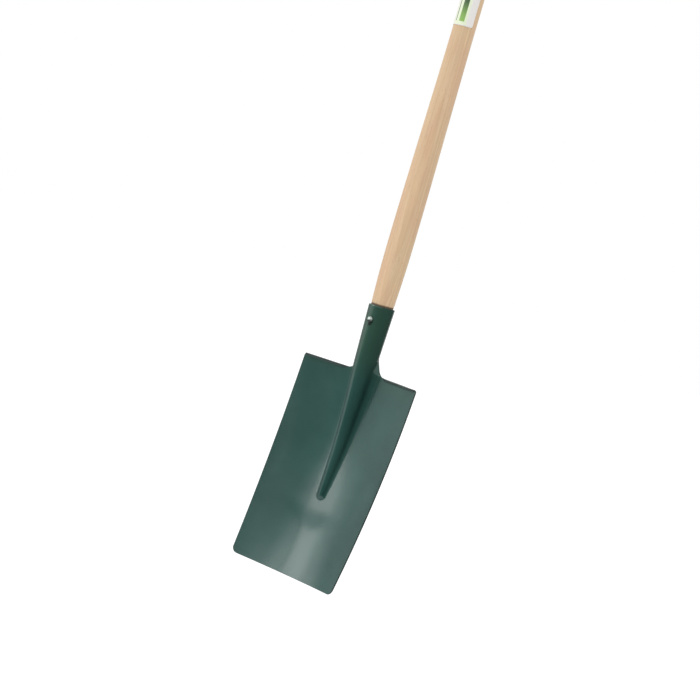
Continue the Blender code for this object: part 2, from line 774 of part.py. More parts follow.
def build_label(parts, tread, paper):
    """The paper label bent round the front of the shaft."""
    mesh = bmesh.new()
    levels = []
    for row in range(LABEL_ROWS + 1):
        height = LABEL_ABOVE_RIM + LABEL_LENGTH * row / LABEL_ROWS
        radius = shaft_radius(height) + FIT + LABEL_THICKNESS / 2
        level = []
        for column in range(LABEL_COLUMNS + 1):
            angle = LABEL_HALF_ANGLE * (2 * column / LABEL_COLUMNS - 1)
            point = (radius * math.sin(angle), -radius * math.cos(angle), SOCKET_HEIGHT + height)
            level.append(mesh.verts.new(point))
        levels.append(level)
    for lower, upper in zip(levels, levels[1:]):
        join_rows(mesh, upper, lower)
    data = bpy.data.meshes.new("shaft_label")
    mesh.to_mesh(data)
    mesh.free()
    label = add_object("shaft_label", data, parts, tread, paper)
    sheet = label.modifiers.new("paper", "SOLIDIFY")
    sheet.thickness = LABEL_THICKNESS
    sheet.offset = 0.0
    label.data.shade_smooth()
    return label


def clear_scene():
    """Start from an empty scene."""
    for item in list(bpy.data.objects):
        bpy.data.objects.remove(item, do_unlink=True)


def main():
    clear_scene()
    parts = bpy.data.collections.new("spade")
    cutters = bpy.data.collections.new("cutters")
    bpy.context.scene.collection.children.link(parts)
    bpy.context.scene.collection.children.link(cutters)

    paint = new_material("green_painted_steel", (0.045, 0.095, 0.080), 0.38)
    wood = new_material("ash_wood", (0.60, 0.43, 0.27), 0.55)
    wedge_wood = new_material("wedge_wood", (0.42, 0.26, 0.14), 0.6)
    steel = new_material("bright_steel", (0.56, 0.57, 0.58), 0.3, 1.0)
    paper = new_material("label_paper", (0.85, 0.86, 0.84), 0.6)

    tread = bpy.data.objects.new("tread_level", None)
    parts.objects.link(tread)
    tread.location = (0.0, 0.0, -GRIP_ABOVE_TREAD)

    nail_radius = NAIL_SHANK_DIAMETER / 2 + FIT
    seat = nail_seat()
    hole_end = seat[1] + NAIL_LENGTH + FIT
    hole_start = -SOCKET_RIM_DIAMETER
    middle = (0.0, (hole_start + hole_end) / 2, seat[2])
    nail_hole = hole_cutter("nail_hole", nail_radius, hole_end - hole_start, middle, cutters, tread)
    pin_radius = PIN_DIAMETER / 2 + FIT
    pin_place = (0.0, 0.0, -PIN_BELOW_MIDDLE)
    pin_hole = hole_cutter("pin_hole", pin_radius, GRIP_MIDDLE_DIAMETER * 2, pin_place, cutters, None)
    flush = flush_cutter(cutters)

    build_blade(parts, tread, nail_hole, paint)
    build_shaft(parts, cutters, tread, (nail_hole, pin_hole), flush, wood)
    build_nail(parts, tread, steel)
    build_label(parts, tread, paper)
    build_grip(parts, cutters, pin_hole, wood)
    build_wedge(parts, flush, wedge_wood)
    build_pin(parts, steel)


main()
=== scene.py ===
"""Looks of a garden spade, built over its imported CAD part.

Everything is in metres in the part's own frame: +Z runs up along the shaft, the blade's dished
front faces -Y, and the origin is the middle of the T-grip. The blade, socket and shaft are laid
out from the tread, the blade's top edge, in heights above it and depths below it.
"""

import logging
import math
from dataclasses import dataclass, field
from enum import Enum

import bpy
import numpy as np
from mathutils import Matrix, Vector


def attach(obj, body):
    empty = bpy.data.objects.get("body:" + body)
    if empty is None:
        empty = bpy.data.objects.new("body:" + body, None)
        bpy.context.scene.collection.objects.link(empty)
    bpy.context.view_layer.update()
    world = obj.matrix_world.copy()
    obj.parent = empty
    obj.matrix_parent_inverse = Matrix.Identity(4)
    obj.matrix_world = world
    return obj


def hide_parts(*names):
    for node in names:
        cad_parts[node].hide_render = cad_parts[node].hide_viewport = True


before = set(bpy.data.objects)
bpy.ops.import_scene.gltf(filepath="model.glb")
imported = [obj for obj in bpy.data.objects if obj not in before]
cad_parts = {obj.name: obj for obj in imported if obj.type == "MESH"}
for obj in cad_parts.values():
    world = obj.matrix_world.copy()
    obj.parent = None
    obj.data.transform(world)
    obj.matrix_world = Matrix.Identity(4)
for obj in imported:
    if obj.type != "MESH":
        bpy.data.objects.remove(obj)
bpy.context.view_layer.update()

LOG = logging.getLogger("spade")
BODY = "root"

# Height of the tread, room round a piece in its seat, first ring round a pole, turn past which
# an edge stays sharp, power of a sheet's rounded rim, and usual range of the soft noise.
TREAD_Z = -0.780
FIT = 0.0003
POLE_RADIUS = 0.0006
CRISP_ANGLE = math.radians(38)
RIM_SQUARENESS = 0.55
USUAL_NOISE = (0.3, 0.7)
QUARTER = math.pi / 2

Array = np.ndarray
Numbers = Array | float
Triple = tuple[float, float, float]
Colour = Triple
Socket = bpy.types.NodeSocket

MIRROR_X = np.array([-1.0, 1.0, 1.0])


def mix(start: Numbers, end: Numbers, share: Numbers) -> Numbers:
    """Straight blend from start to end."""
    return start + (end - start) * share


def ease(share: Numbers) -> Numbers:
    """Smooth step: three times the square less twice the cube, held outside 0 to 1."""
    held = np.clip(share, 0.0, 1.0)
    return held * held * (3.0 - 2.0 * held)


def between(value: Numbers, low: float, high: float) -> Numbers:
    """Share of the way from low to high, held outside them."""
    return np.clip((value - low) / (high - low), 0.0, 1.0)


def arc(radius: Numbers, away: Numbers) -> Numbers:
    """Height of a circle over a distance from its middle, and 0 past its edge."""
    return np.sqrt(np.maximum(radius**2 - away**2, 0.0))


def linear(red: int, green: int, blue: int) -> Colour:
    """A display colour as the linear light that a shader reads.

    Args:
        red: Red, 0 to 255.
        green: Green, 0 to 255.
        blue: Blue, 0 to 255.

    Returns:
        The light of each, 0 to 1.
    """
    shares = np.array([red, green, blue]) / 255.0
    light = np.where(shares <= 0.04045, shares / 12.92, ((shares + 0.055) / 1.055) ** 2.4)
    return tuple(float(value) for value in light)


def steps(count: int) -> Array:
    """Even shares above 0, up to and with 1."""
    return np.arange(1, count + 1) / count


def unit(vectors: Array) -> Array:
    """Vectors brought to a length of one."""
    return vectors / np.linalg.norm(vectors, axis=1, keepdims=True)


def stacked(*sides: Numbers) -> Array:
    """Points from their coordinates, or faces from their corners, brought to one shape."""
    return np.stack(np.broadcast_arrays(*sides), axis=-1)


def numbered(grid: Array, first: int = 0) -> Array:
    """Numbers of a grid's points, row by row, from the first on."""
    rows, columns = grid.shape[:2]
    return first + np.arange(rows * columns).reshape(rows, columns)


def quads(index: Array) -> Array:
    """Faces between neighbouring rows and columns of a grid of point numbers."""
    corners = stacked(index[:-1, :-1], index[1:, :-1], index[1:, 1:], index[:-1, 1:])
    return corners.reshape(-1, 4)


def toward(azimuth: float, elevation: float) -> Vector:
    """Unit vector to a place so many degrees round from the front, and up."""
    a, e = math.radians(azimuth), math.radians(elevation)
    return Vector((math.sin(a) * math.cos(e), -math.cos(a) * math.cos(e), math.sin(e)))


def linked(name: str, data: bpy.types.ID) -> bpy.types.Object:
    """Put a mesh, a lamp or a camera into the scene.

    Args:
        name: The object's name.
        data: What it shows.

    Returns:
        The object, at the origin.
    """
    thing = bpy.data.objects.new(name, data)
    bpy.context.scene.collection.objects.link(thing)
    return thing


@dataclass
class Surface:
    """Points and faces of a piece, before it is made a mesh."""

    points: Array
    quads: Array
    triangles: Array = field(default_factory=lambda: np.zeros((0, 3), int))

    @classmethod
    def ring_grid(cls, grid: Array) -> "Surface":
        """A closed skin through rings of points, with a pole in the middle of each end ring.

        Args:
            grid: Rings x points round x 3, each ring going round counter-clockwise seen from
                the first ring's end.

        Returns:
            The skin. Each pole is the mean of its ring.
        """
        rings, around = grid.shape[:2]
        index = numbered(grid)
        wrapped = np.hstack([index, index[:, :1]])
        poles = np.stack([grid[0].mean(axis=0), grid[-1].mean(axis=0)])
        top = stacked(rings * around, wrapped[0, :-1], wrapped[0, 1:])
        bottom = stacked(rings * around + 1, wrapped[-1, 1:], wrapped[-1, :-1])
        points = np.vstack([grid.reshape(-1, 3), poles])
        return cls(points, quads(wrapped), np.vstack([top, bottom]))

    def flipped(self) -> "Surface":
        """The same skin with its faces turned round."""
        return Surface(self.points, self.quads[:, ::-1], self.triangles[:, ::-1])

    def moved(self, y: float, z: float) -> "Surface":
        """The same skin, moved along Y and Z."""
        return Surface(self.points + np.array([0.0, y, z]), self.quads, self.triangles)

    def normals(self) -> Array:
        """Unit normals at the points: the sum of the cross products of the faces' diagonals.

        Returns:
            One normal for each point.
        """
        corner = self.points[self.quads]
        across = np.cross(corner[:, 2] - corner[:, 0], corner[:, 3] - corner[:, 1])
        total = np.zeros_like(self.points)
        for place in range(4):
            np.add.at(total, self.quads[:, place], across)
        return unit(total)

    def outline(self) -> Array:
        """Edges that have a face on one side only.

        Returns:
            Their two point numbers, in the direction that has the face on the left.
        """
        ahead = stacked(self.quads, np.roll(self.quads, -1, axis=1)).reshape(-1, 2)
        count = len(self.points)
        keys = ahead[:, 0] * count + ahead[:, 1]
        reversed_keys = ahead[:, 1] * count + ahead[:, 0]
        return ahead[~np.isin(keys, reversed_keys)]

    def thickened(self, thickness: float, rim: float, rim_steps: int = 6) -> "Surface":
        """The sheet given a wall, with a rounded rim along its outline.

        Both sides lie half the thickness from the sheet along its normal. The rim is a
        superellipse from one side to the other that bulges outward in the sheet's plane.

        Args:
            thickness: Wall thickness.
            rim: How far the rim bulges past the sheet's own outline.
            rim_steps: Facets across the rim.

        Returns:
            The closed wall.
        """
        normal = self.normals()
        edge = self.outline()
        along = self.points[edge[:, 1]] - self.points[edge[:, 0]]
        outward = np.zeros_like(self.points)
        for end in range(2):
            np.add.at(outward, edge[:, end], np.cross(along, normal[edge[:, end]]))
        rim_points = np.unique(edge)
        reach = unit(outward[rim_points])

        angle = np.pi * np.arange(1, rim_steps)[:, None, None] / rim_steps
        rise = np.sign(np.cos(angle)) * np.abs(np.cos(angle)) ** RIM_SQUARENESS * thickness / 2
        bulge = np.sin(angle) ** RIM_SQUARENESS * rim
        middle = self.points[rim_points] + normal[rim_points] * rise + reach * bulge

        count = len(self.points)
        front = self.points + normal * thickness / 2
        back = self.points - normal * thickness / 2
        order = np.zeros(count, int)
        order[rim_points] = np.arange(len(rim_points))
        levels = np.vstack([rim_points, numbered(middle, 2 * count), count + rim_points])
        start, end = (levels[:, order[edge[:, side]]] for side in range(2))
        strips = stacked(end[:-1], start[:-1], start[1:], end[1:]).reshape(-1, 4)
        points = np.vstack([front, back, middle.reshape(-1, 3)])
        return Surface(points, np.vstack([self.quads, self.quads[:, ::-1] + count, strips]))

    def to_object(self, name: str) -> bpy.types.Object:
        """Make the mesh, smooth, with its place in its points.

        Args:
            name: The piece's name.

        Returns:
            The piece, linked at the origin.
        """
        mesh = bpy.data.meshes.new(name)
        mesh.from_pydata(self.points.tolist(), [], self.quads.tolist() + self.triangles.tolist())
        mesh.validate()
        mesh.shade_smooth()
        return linked(name, mesh)


class Axis(Enum):
    """Axis of turning: which of cosine, sine and place along it X, Y and Z take."""

    X = (2, 0, 1)
    Y = (1, 2, 0)
    Z = (0, 1, 2)


def turned(profile: Array, around: int, axis: Axis = Axis.Z) -> Surface:
    """A turned skin: points (radius, place along the axis) swept round the axis.

    A point at angle a lies at radius times the cosine and sine of a, across the axis.

    Args:
        profile: Radius and place, from the far end of the axis to the near end.
        around: Points round.
        axis: The axis it is turned about.

    Returns:
        The closed skin.
    """
    angle = 2 * np.pi * np.arange(around) / around
    sides = (profile[:, :1] * np.cos(angle), profile[:, :1] * np.sin(angle), profile[:, 1:])
    return Surface.ring_grid(stacked(*(sides[number] for number in axis.value)))


def crisp(piece: bpy.types.Object) -> None:
    """Keep the shading sharp at edges that turn by more than the crisp angle."""
    piece.data.set_sharp_from_angle(angle=CRISP_ANGLE)


def drill(piece: bpy.types.Object, *cutters: Surface) -> None:
    """Cut shapes out of a piece, and keep its smooth shading but for true corners.

    Args:
        piece: The piece to cut.
        cutters: Closed skins to take away.
    """
    for number, cutter in enumerate(cutters):
        tool = cutter.to_object(f"{piece.name}_cutter_{number}")
        modifier = piece.modifiers.new("cut", "BOOLEAN")
        modifier.solver = "EXACT"
        modifier.object = tool
        graph = bpy.context.evaluated_depsgraph_get()
        cut = bpy.data.meshes.new_from_object(piece.evaluated_get(graph))
        piece.modifiers.clear()
        piece.data = cut
        bpy.data.objects.remove(tool)
    piece.data.shade_smooth()
    crisp(piece)


class Canvas:
    """A material's nodes, while its finish is laid out."""

    def __init__(self, name: str) -> None:
        """Start an empty material with one Principled shader.

        Args:
            name: The material's name.
        """
        self.material = bpy.data.materials.new(name)
        self.material.use_nodes = True
        self.nodes = self.material.node_tree.nodes
        self.links = self.material.node_tree.links
        self.shader = self.nodes["Principled BSDF"]

    def add(
        self, kind: str, inputs: dict[str, object] | None = None, **settings: object
    ) -> bpy.types.Node:
        """Add a node.

        Args:
            kind: Its type.
            inputs: What feeds its inputs, by their names.
            settings: Its properties.

        Returns:
            The node.
        """
        node = self.nodes.new(kind)
        for name, value in settings.items():
            setattr(node, name, value)
        for name, value in (inputs or {}).items():
            self.feed(node.inputs[name], value)
        return node

    def feed(self, target: Socket, value: object) -> None:
        """Link a socket into another, or set a plain value on it.

        Args:
            target: The input.
            value: A socket, a number, three numbers, or a colour that then gets its alpha.
        """
        if isinstance(value, bpy.types.NodeSocket):
            self.links.new(value, target)
        elif isinstance(value, tuple) and len(value) == 3 and target.type == "RGBA":
            target.default_value = (*value, 1.0)
        else:
            target.default_value = value

    def set(self, **values: object) -> None:
        """Feed the shader's inputs, named with underscores for spaces."""
        for name, value in values.items():
            self.feed(self.shader.inputs[name.replace("_", " ")], value)

    def place(self, turn: Triple = (0.0, 0.0, 0.0)) -> Socket:
        """Object coordinates, turned."""
        inputs = {"Vector": self.add("ShaderNodeTexCoord").outputs["Object"], "Rotation": turn}
        return self.add("ShaderNodeMapping", inputs, vector_type="POINT").outputs["Vector"]

    def split(self, vector: Socket) -> tuple[Socket, ...]:
        """A vector's three coordinates."""
        return tuple(self.add("ShaderNodeSeparateXYZ", {"Vector": vector}).outputs)

    def noise(
        self, vector: Socket, scale: float, detail: float = 2.0, roughness: float = 0.5
    ) -> Socket:
        """Soft random value of about 0.3 to 0.7."""
        inputs = {"Vector": vector, "Scale": scale, "Detail": detail, "Roughness": roughness}
        return self.add("ShaderNodeTexNoise", inputs).outputs["Fac"]

    def fibres(
        self, vector: Socket, across: float, along: float, detail: float, roughness: float = 0.5
    ) -> Socket:
        """Soft random value, drawn out along the grain.

        Args:
            vector: Place.
            across: Scale across the grain.
            along: Scale along it.
            detail: Levels of finer noise.
            roughness: How strong they are.

        Returns:
            The value, about 0.3 to 0.7.
        """
        inputs = {"Vector": vector, "Scale": (across, across, along)}
        drawn = self.add("ShaderNodeMapping", inputs, vector_type="POINT").outputs["Vector"]
        return self.noise(drawn, 1.0, detail, roughness)

    def span(
        self, value: Socket, low: float, high: float, start: float = 0.0, end: float = 1.0
    ) -> Socket:
        """A value's range from low to high carried to start to end, held outside it."""
        inputs = {"Value": value, "From Min": low, "From Max": high, "To Min": start, "To Max": end}
        return self.add("ShaderNodeMapRange", inputs, interpolation_type="SMOOTHSTEP").outputs["Result"]

    def swing(self, value: Socket, start: float, end: float) -> Socket:
        """A soft random value's usual range carried to start to end."""
        return self.span(value, *USUAL_NOISE, start, end)

    def figure(self, operation: str, *values: object) -> Socket:
        """One arithmetic operation.

        Args:
            operation: Its name.
            values: Sockets or numbers.

        Returns:
            The result.
        """
        node = self.add("ShaderNodeMath", operation=operation)
        for target, value in zip(node.inputs, values):
            self.feed(target, value)
        return node.outputs["Value"]

    def times(self, first: object, second: object) -> Socket:
        """Product of two sockets or numbers."""
        return self.figure("MULTIPLY", first, second)

    def plus(self, first: object, second: object) -> Socket:
        """Sum of two sockets or numbers."""
        return self.figure("ADD", first, second)

    def blend(self, share: object, first: object, second: object, mode: str = "MIX") -> Socket:
        """Blend two colours.

        Args:
            share: How much of the second there is.
            first: A colour or a socket.
            second: Another.
            mode: How the second acts on the first.

        Returns:
            The colour.
        """
        node = self.add("ShaderNodeMix", data_type="RGBA", blend_type=mode)
        sockets = [socket for socket in node.inputs if socket.enabled]
        for target, value in zip(sockets, (share, first, second)):
            self.feed(target, value)
        return next(socket for socket in node.outputs if socket.enabled)

    def relief(self, height: Socket, depth: float) -> Socket:
        """A normal bent by a height of 0 to 1 that stands for a depth in metres."""
        inputs = {"Height": height, "Distance": depth, "Strength": 1.0}
        return self.add("ShaderNodeBump", inputs).outputs["Normal"]


class Grain(Enum):
    """Which way a piece's wood runs: the turn that brings its grain onto Z."""

    ALONG_SHAFT = (0.0, 0.0, 0.0)
    ALONG_GRIP = (0.0, -math.pi / 2, 0.0)


@dataclass(frozen=True)
class GreenPaint:
    """Green metallic-toned paint under a semi-gloss clear layer, baked, with a faint orange peel."""

    name: str = "green_paint"
    deep: Colour = linear(39, 76, 70)
    fresh: Colour = linear(45, 82, 76)
    # Dark colour of rims and lips: edge wear, and painted shade where the turned tread's bend lies in
    # shadow.
    edge: Colour = linear(38, 50, 48)
    collar: Colour = linear(50, 82, 70)
    # Painted shadow cast by the nail's head on the socket below it.
    nail_shadow_colour: Colour = linear(12, 22, 20)
    flake_share: float = 0.6
    flake_roughness: float = 0.5
    haze: float = 0.12
    gloss: float = 0.74
    roughness: float = 0.145
    collar_rise: tuple[float, float] = (TREAD_Z - 0.03, TREAD_Z + 0.04)
    nail_shadow_at: Triple = (0.0010, -0.0180, TREAD_Z + 0.0662)
    nail_shadow_edge: tuple[float, float] = (0.0030, 0.0058)
    nail_shadow_share: float = 0.85
    peel_depth: float = 0.000014

    def make(self) -> bpy.types.Material:
        """Tone in soft clouds, warmer on the socket, peel in two sizes, dark rims and lips that are
        edge wear and painted shade, and a painted shadow.

        The painted shadow is a window on the distance from a point just below the nail's head.

        Returns:
            The material.
        """
        canvas = Canvas(self.name)
        place = canvas.place()
        cloud = canvas.span(canvas.noise(place, 14.0, 3.0), 0.35, 0.65)
        tone = canvas.blend(cloud, self.deep, self.fresh)
        above = canvas.span(canvas.split(place)[2], *self.collar_rise)
        tone = canvas.blend(above, tone, self.collar)
        # Rims and lips darkened: edge wear, and painted shade under the turned tread.
        rim = canvas.add("ShaderNodeAttribute", attribute_name="rim").outputs["Fac"]
        speckle = canvas.span(canvas.noise(place, 420.0, 3.0), 0.4, 0.62)
        edge_wear_and_shade = canvas.times(rim, canvas.span(speckle, 0.0, 1.0, 0.75, 1.0))
        # Painted shadow below the nail's head: dark within a ragged distance of a point just below it.
        away = canvas.add("ShaderNodeVectorMath", operation="DISTANCE")
        for target, point in zip(away.inputs, (place, self.nail_shadow_at)):
            canvas.feed(target, point)
        ragged = canvas.swing(canvas.noise(place, 260.0, 2.0), -0.0012, 0.0012)
        ragged = canvas.plus(away.outputs["Value"], ragged)
        nail_shadow = canvas.times(canvas.span(ragged, *self.nail_shadow_edge, 1.0, 0.0), self.nail_shadow_share)
        smear = canvas.span(canvas.noise(place, 38.0, 4.0, 0.6), 0.35, 0.7, -0.03, 0.05)
        peel = canvas.plus(canvas.noise(place, 330.0, 1.0), canvas.noise(place, 900.0, 1.0))
        canvas.set(
            Base_Color=canvas.blend(nail_shadow, canvas.blend(edge_wear_and_shade, tone, self.edge), self.nail_shadow_colour),
            Metallic=self.flake_share,
            Roughness=canvas.plus(smear, self.flake_roughness),
            IOR=1.5,
            Specular_IOR_Level=self.haze,
            Coat_Weight=self.gloss,
            Coat_Roughness=self.roughness,
            Coat_IOR=1.5,
            Normal=canvas.relief(peel, self.peel_depth),
            Coat_Normal=canvas.relief(peel, self.peel_depth),
        )
        return canvas.material


@dataclass(frozen=True)
class Wood:
    """Turned wood: growth rings about a far pith, fine fibres, and small dark flecks."""

    name: str = "ash_wood"
    grain: Grain = Grain.ALONG_SHAFT
    early: Colour = linear(216, 187, 151)
    late: Colour = linear(200, 166, 127)
    blush: Colour = linear(209, 171, 138)
    fleck: Colour = linear(150, 108, 74)
    # Dark band where the wood meets the socket's rim: painted shadow of the gap there, in part a stain.
    stain_and_shade: Colour = linear(58, 42, 26)
    stain_and_shade_z: float = TREAD_Z + 0.0908
    stain_and_shade_top: tuple[float, float] = (0.0010, 0.0034)
    stain_and_shade_foot: tuple[float, float] = (-0.018, -0.007)
    stain_and_shade_share: float = 0.85
    pith: tuple[float, float] = (0.061, -0.083)
    ring: float = 0.0031
    warp: float = 0.014
    late_share: float = 0.46
    fleck_share: float = 0.30
    roughness: float = 0.52
    pore_depth: float = 0.00003

    def make(self) -> bpy.types.Material:
        """Rings are the fraction of the warped distance from the pith over the ring's width.

        The wood is darkened in a band where it meets the socket's rim: painted shadow of the gap
        between wood and socket, in part a stain.

        Returns:
            The material.
        """
        canvas = Canvas(self.name)
        place = canvas.place(self.grain.value)
        *across, along = canvas.split(place)
        away = [canvas.figure("SUBTRACT", *pair) for pair in zip(across, self.pith)]
        reach = canvas.figure("SQRT", canvas.plus(*(canvas.times(side, side) for side in away)))
        warped = canvas.plus(reach, canvas.times(canvas.fibres(place, 9.0, 2.4, 2.0), self.warp))
        phase = canvas.figure("FRACT", canvas.figure("DIVIDE", warped, self.ring))
        growth = canvas.times(canvas.span(phase, 0.1, 0.85), canvas.span(phase, 1.0, 0.86))
        fibre = canvas.fibres(place, 1500.0, 22.0, 3.0, 0.6)
        streak = canvas.fibres(place, 260.0, 5.0, 3.0)
        patch = canvas.fibres(place, 42.0, 13.0, 3.0)
        flecks = canvas.span(canvas.fibres(place, 950.0, 150.0, 1.0), 0.66, 0.74)

        tone = canvas.blend(canvas.times(growth, self.late_share), self.early, self.late)
        tone = canvas.blend(canvas.span(patch, 0.42, 0.68, 0.0, 0.6), tone, self.blush)
        shade = canvas.plus(canvas.swing(fibre, -0.045, 0.035), canvas.swing(streak, 0.95, 1.05))
        grey = canvas.add("ShaderNodeCombineColor")
        for target in grey.inputs[:3]:
            canvas.feed(target, shade)
        tone = canvas.blend(1.0, tone, grey.outputs["Color"], "MULTIPLY")
        tone = canvas.blend(canvas.times(flecks, self.fleck_share), tone, self.fleck)
        # Band of painted shadow, in part a stain, about the rim's height.
        over = canvas.figure("SUBTRACT", along, self.stain_and_shade_z)
        over = canvas.plus(over, canvas.swing(patch, -0.0005, 0.0005))
        top = canvas.span(over, *self.stain_and_shade_top, self.stain_and_shade_share, 0.0)
        band = canvas.times(top, canvas.span(over, *self.stain_and_shade_foot))
        tone = canvas.blend(band, tone, self.stain_and_shade)
        pores = canvas.figure("SUBTRACT", fibre, canvas.times(flecks, 0.6))
        canvas.set(
            Base_Color=tone,
            Roughness=canvas.plus(canvas.swing(fibre, -0.06, 0.06), self.roughness),
            IOR=1.45,
            Normal=canvas.relief(pores, self.pore_depth),
        )
        return canvas.material


@dataclass(frozen=True)
class Steel:
    """Zinc-bright steel of nails and pins, slightly dulled."""

    name: str = "nail_steel"
    bright: Colour = linear(188, 198, 193)
    dull: Colour = linear(132, 142, 136)
    # Painted shade on the lower half of the nail's domed head.
    lower_half_shade: Colour = linear(22, 34, 30)
    shade_below_z: float = TREAD_Z + 0.0693
    roughness: float = 0.30
    mark_depth: float = 0.00002

    def make(self) -> bpy.types.Material:
        """Dull patches, fine marks of the die, and painted shade below a height, on the lower half of
        the nail's head.

        Returns:
            The material.
        """
        canvas = Canvas(self.name)
        place = canvas.place()
        patch = canvas.noise(place, 700.0, 3.0, 0.6)
        marks = canvas.noise(place, 2600.0, 2.0)
        # Painted shade below a height on the head, with a ragged edge.
        over = canvas.figure("SUBTRACT", canvas.split(place)[2], self.shade_below_z)
        over = canvas.plus(over, canvas.swing(patch, -0.0006, 0.0006))
        metal = canvas.blend(canvas.span(patch, 0.35, 0.7), self.bright, self.dull)
        lower_shade_share = canvas.span(over, -0.0006, 0.0008, 0.9, 0.0)
        canvas.set(
            Base_Color=canvas.blend(lower_shade_share, metal, self.lower_half_shade),
            Metallic=1.0,
            Roughness=canvas.plus(canvas.swing(patch, -0.05, 0.12), self.roughness),
            Normal=canvas.relief(canvas.plus(patch, marks), self.mark_depth),
        )
        return canvas.material


@dataclass(frozen=True)
class PrintedPaper:
    """White coated paper with plain green bands, read from the label's UV map."""

    name: str = "label_paper"
    white: Colour = linear(232, 229, 226)
    tint: Colour = linear(228, 238, 208)
    light: Colour = linear(140, 184, 92)
    dark: Colour = linear(52, 82, 52)
    stripe: Colour = linear(58, 76, 78)
    fibre_depth: float = 0.000012

    def make(self) -> bpy.types.Material:
        """Each band is the product of a smooth window across and a smooth window along.

        Returns:
            The material.
        """
        canvas = Canvas(self.name)
        across, along, _ = canvas.split(canvas.add("ShaderNodeTexCoord").outputs["UV"])

        def window(value: Socket, low: float, high: float, soft: float) -> Socket:
            """1 between low and high, falling to 0 over a soft width."""
            rise = canvas.span(value, low - soft, low + soft)
            return canvas.times(rise, canvas.span(value, high - soft, high + soft, 1.0, 0.0))

        length = window(along, 0.05, 0.95, 0.004)
        panel = canvas.times(window(across, 0.30, 0.76, 0.02), window(along, 0.01, 0.99, 0.004))
        paper = canvas.blend(panel, self.white, self.tint)
        green = canvas.blend(canvas.span(along, 0.05, 0.35), self.light, self.dark)
        for low, high, ink in ((0.50, 0.68, green), (0.36, 0.39, self.stripe)):
            band = canvas.times(window(across, low, high, 0.006), length)
            paper = canvas.blend(band, paper, ink)
        fibre = canvas.noise(canvas.place(), 900.0, 3.0, 0.6)
        canvas.set(
            Base_Color=paper,
            Roughness=canvas.swing(fibre, 0.36, 0.46),
            Normal=canvas.relief(fibre, self.fibre_depth),
        )
        return canvas.material


def dress(
    piece: bpy.types.Object, material: bpy.types.Material, node: str
) -> bpy.types.Object:
    """Finish a piece, and set it on the one body.

    Args:
        piece: The piece.
        material: Its finish.
        node: The CAD node that it stands for.

    Returns:
        The same piece.
    """
    piece.data.materials.clear()
    piece.data.materials.append(material)
    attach(piece, BODY)
    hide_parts(node)
    LOG.info("%s: %d faces, %s", piece.name, len(piece.data.polygons), material.name)
    return piece


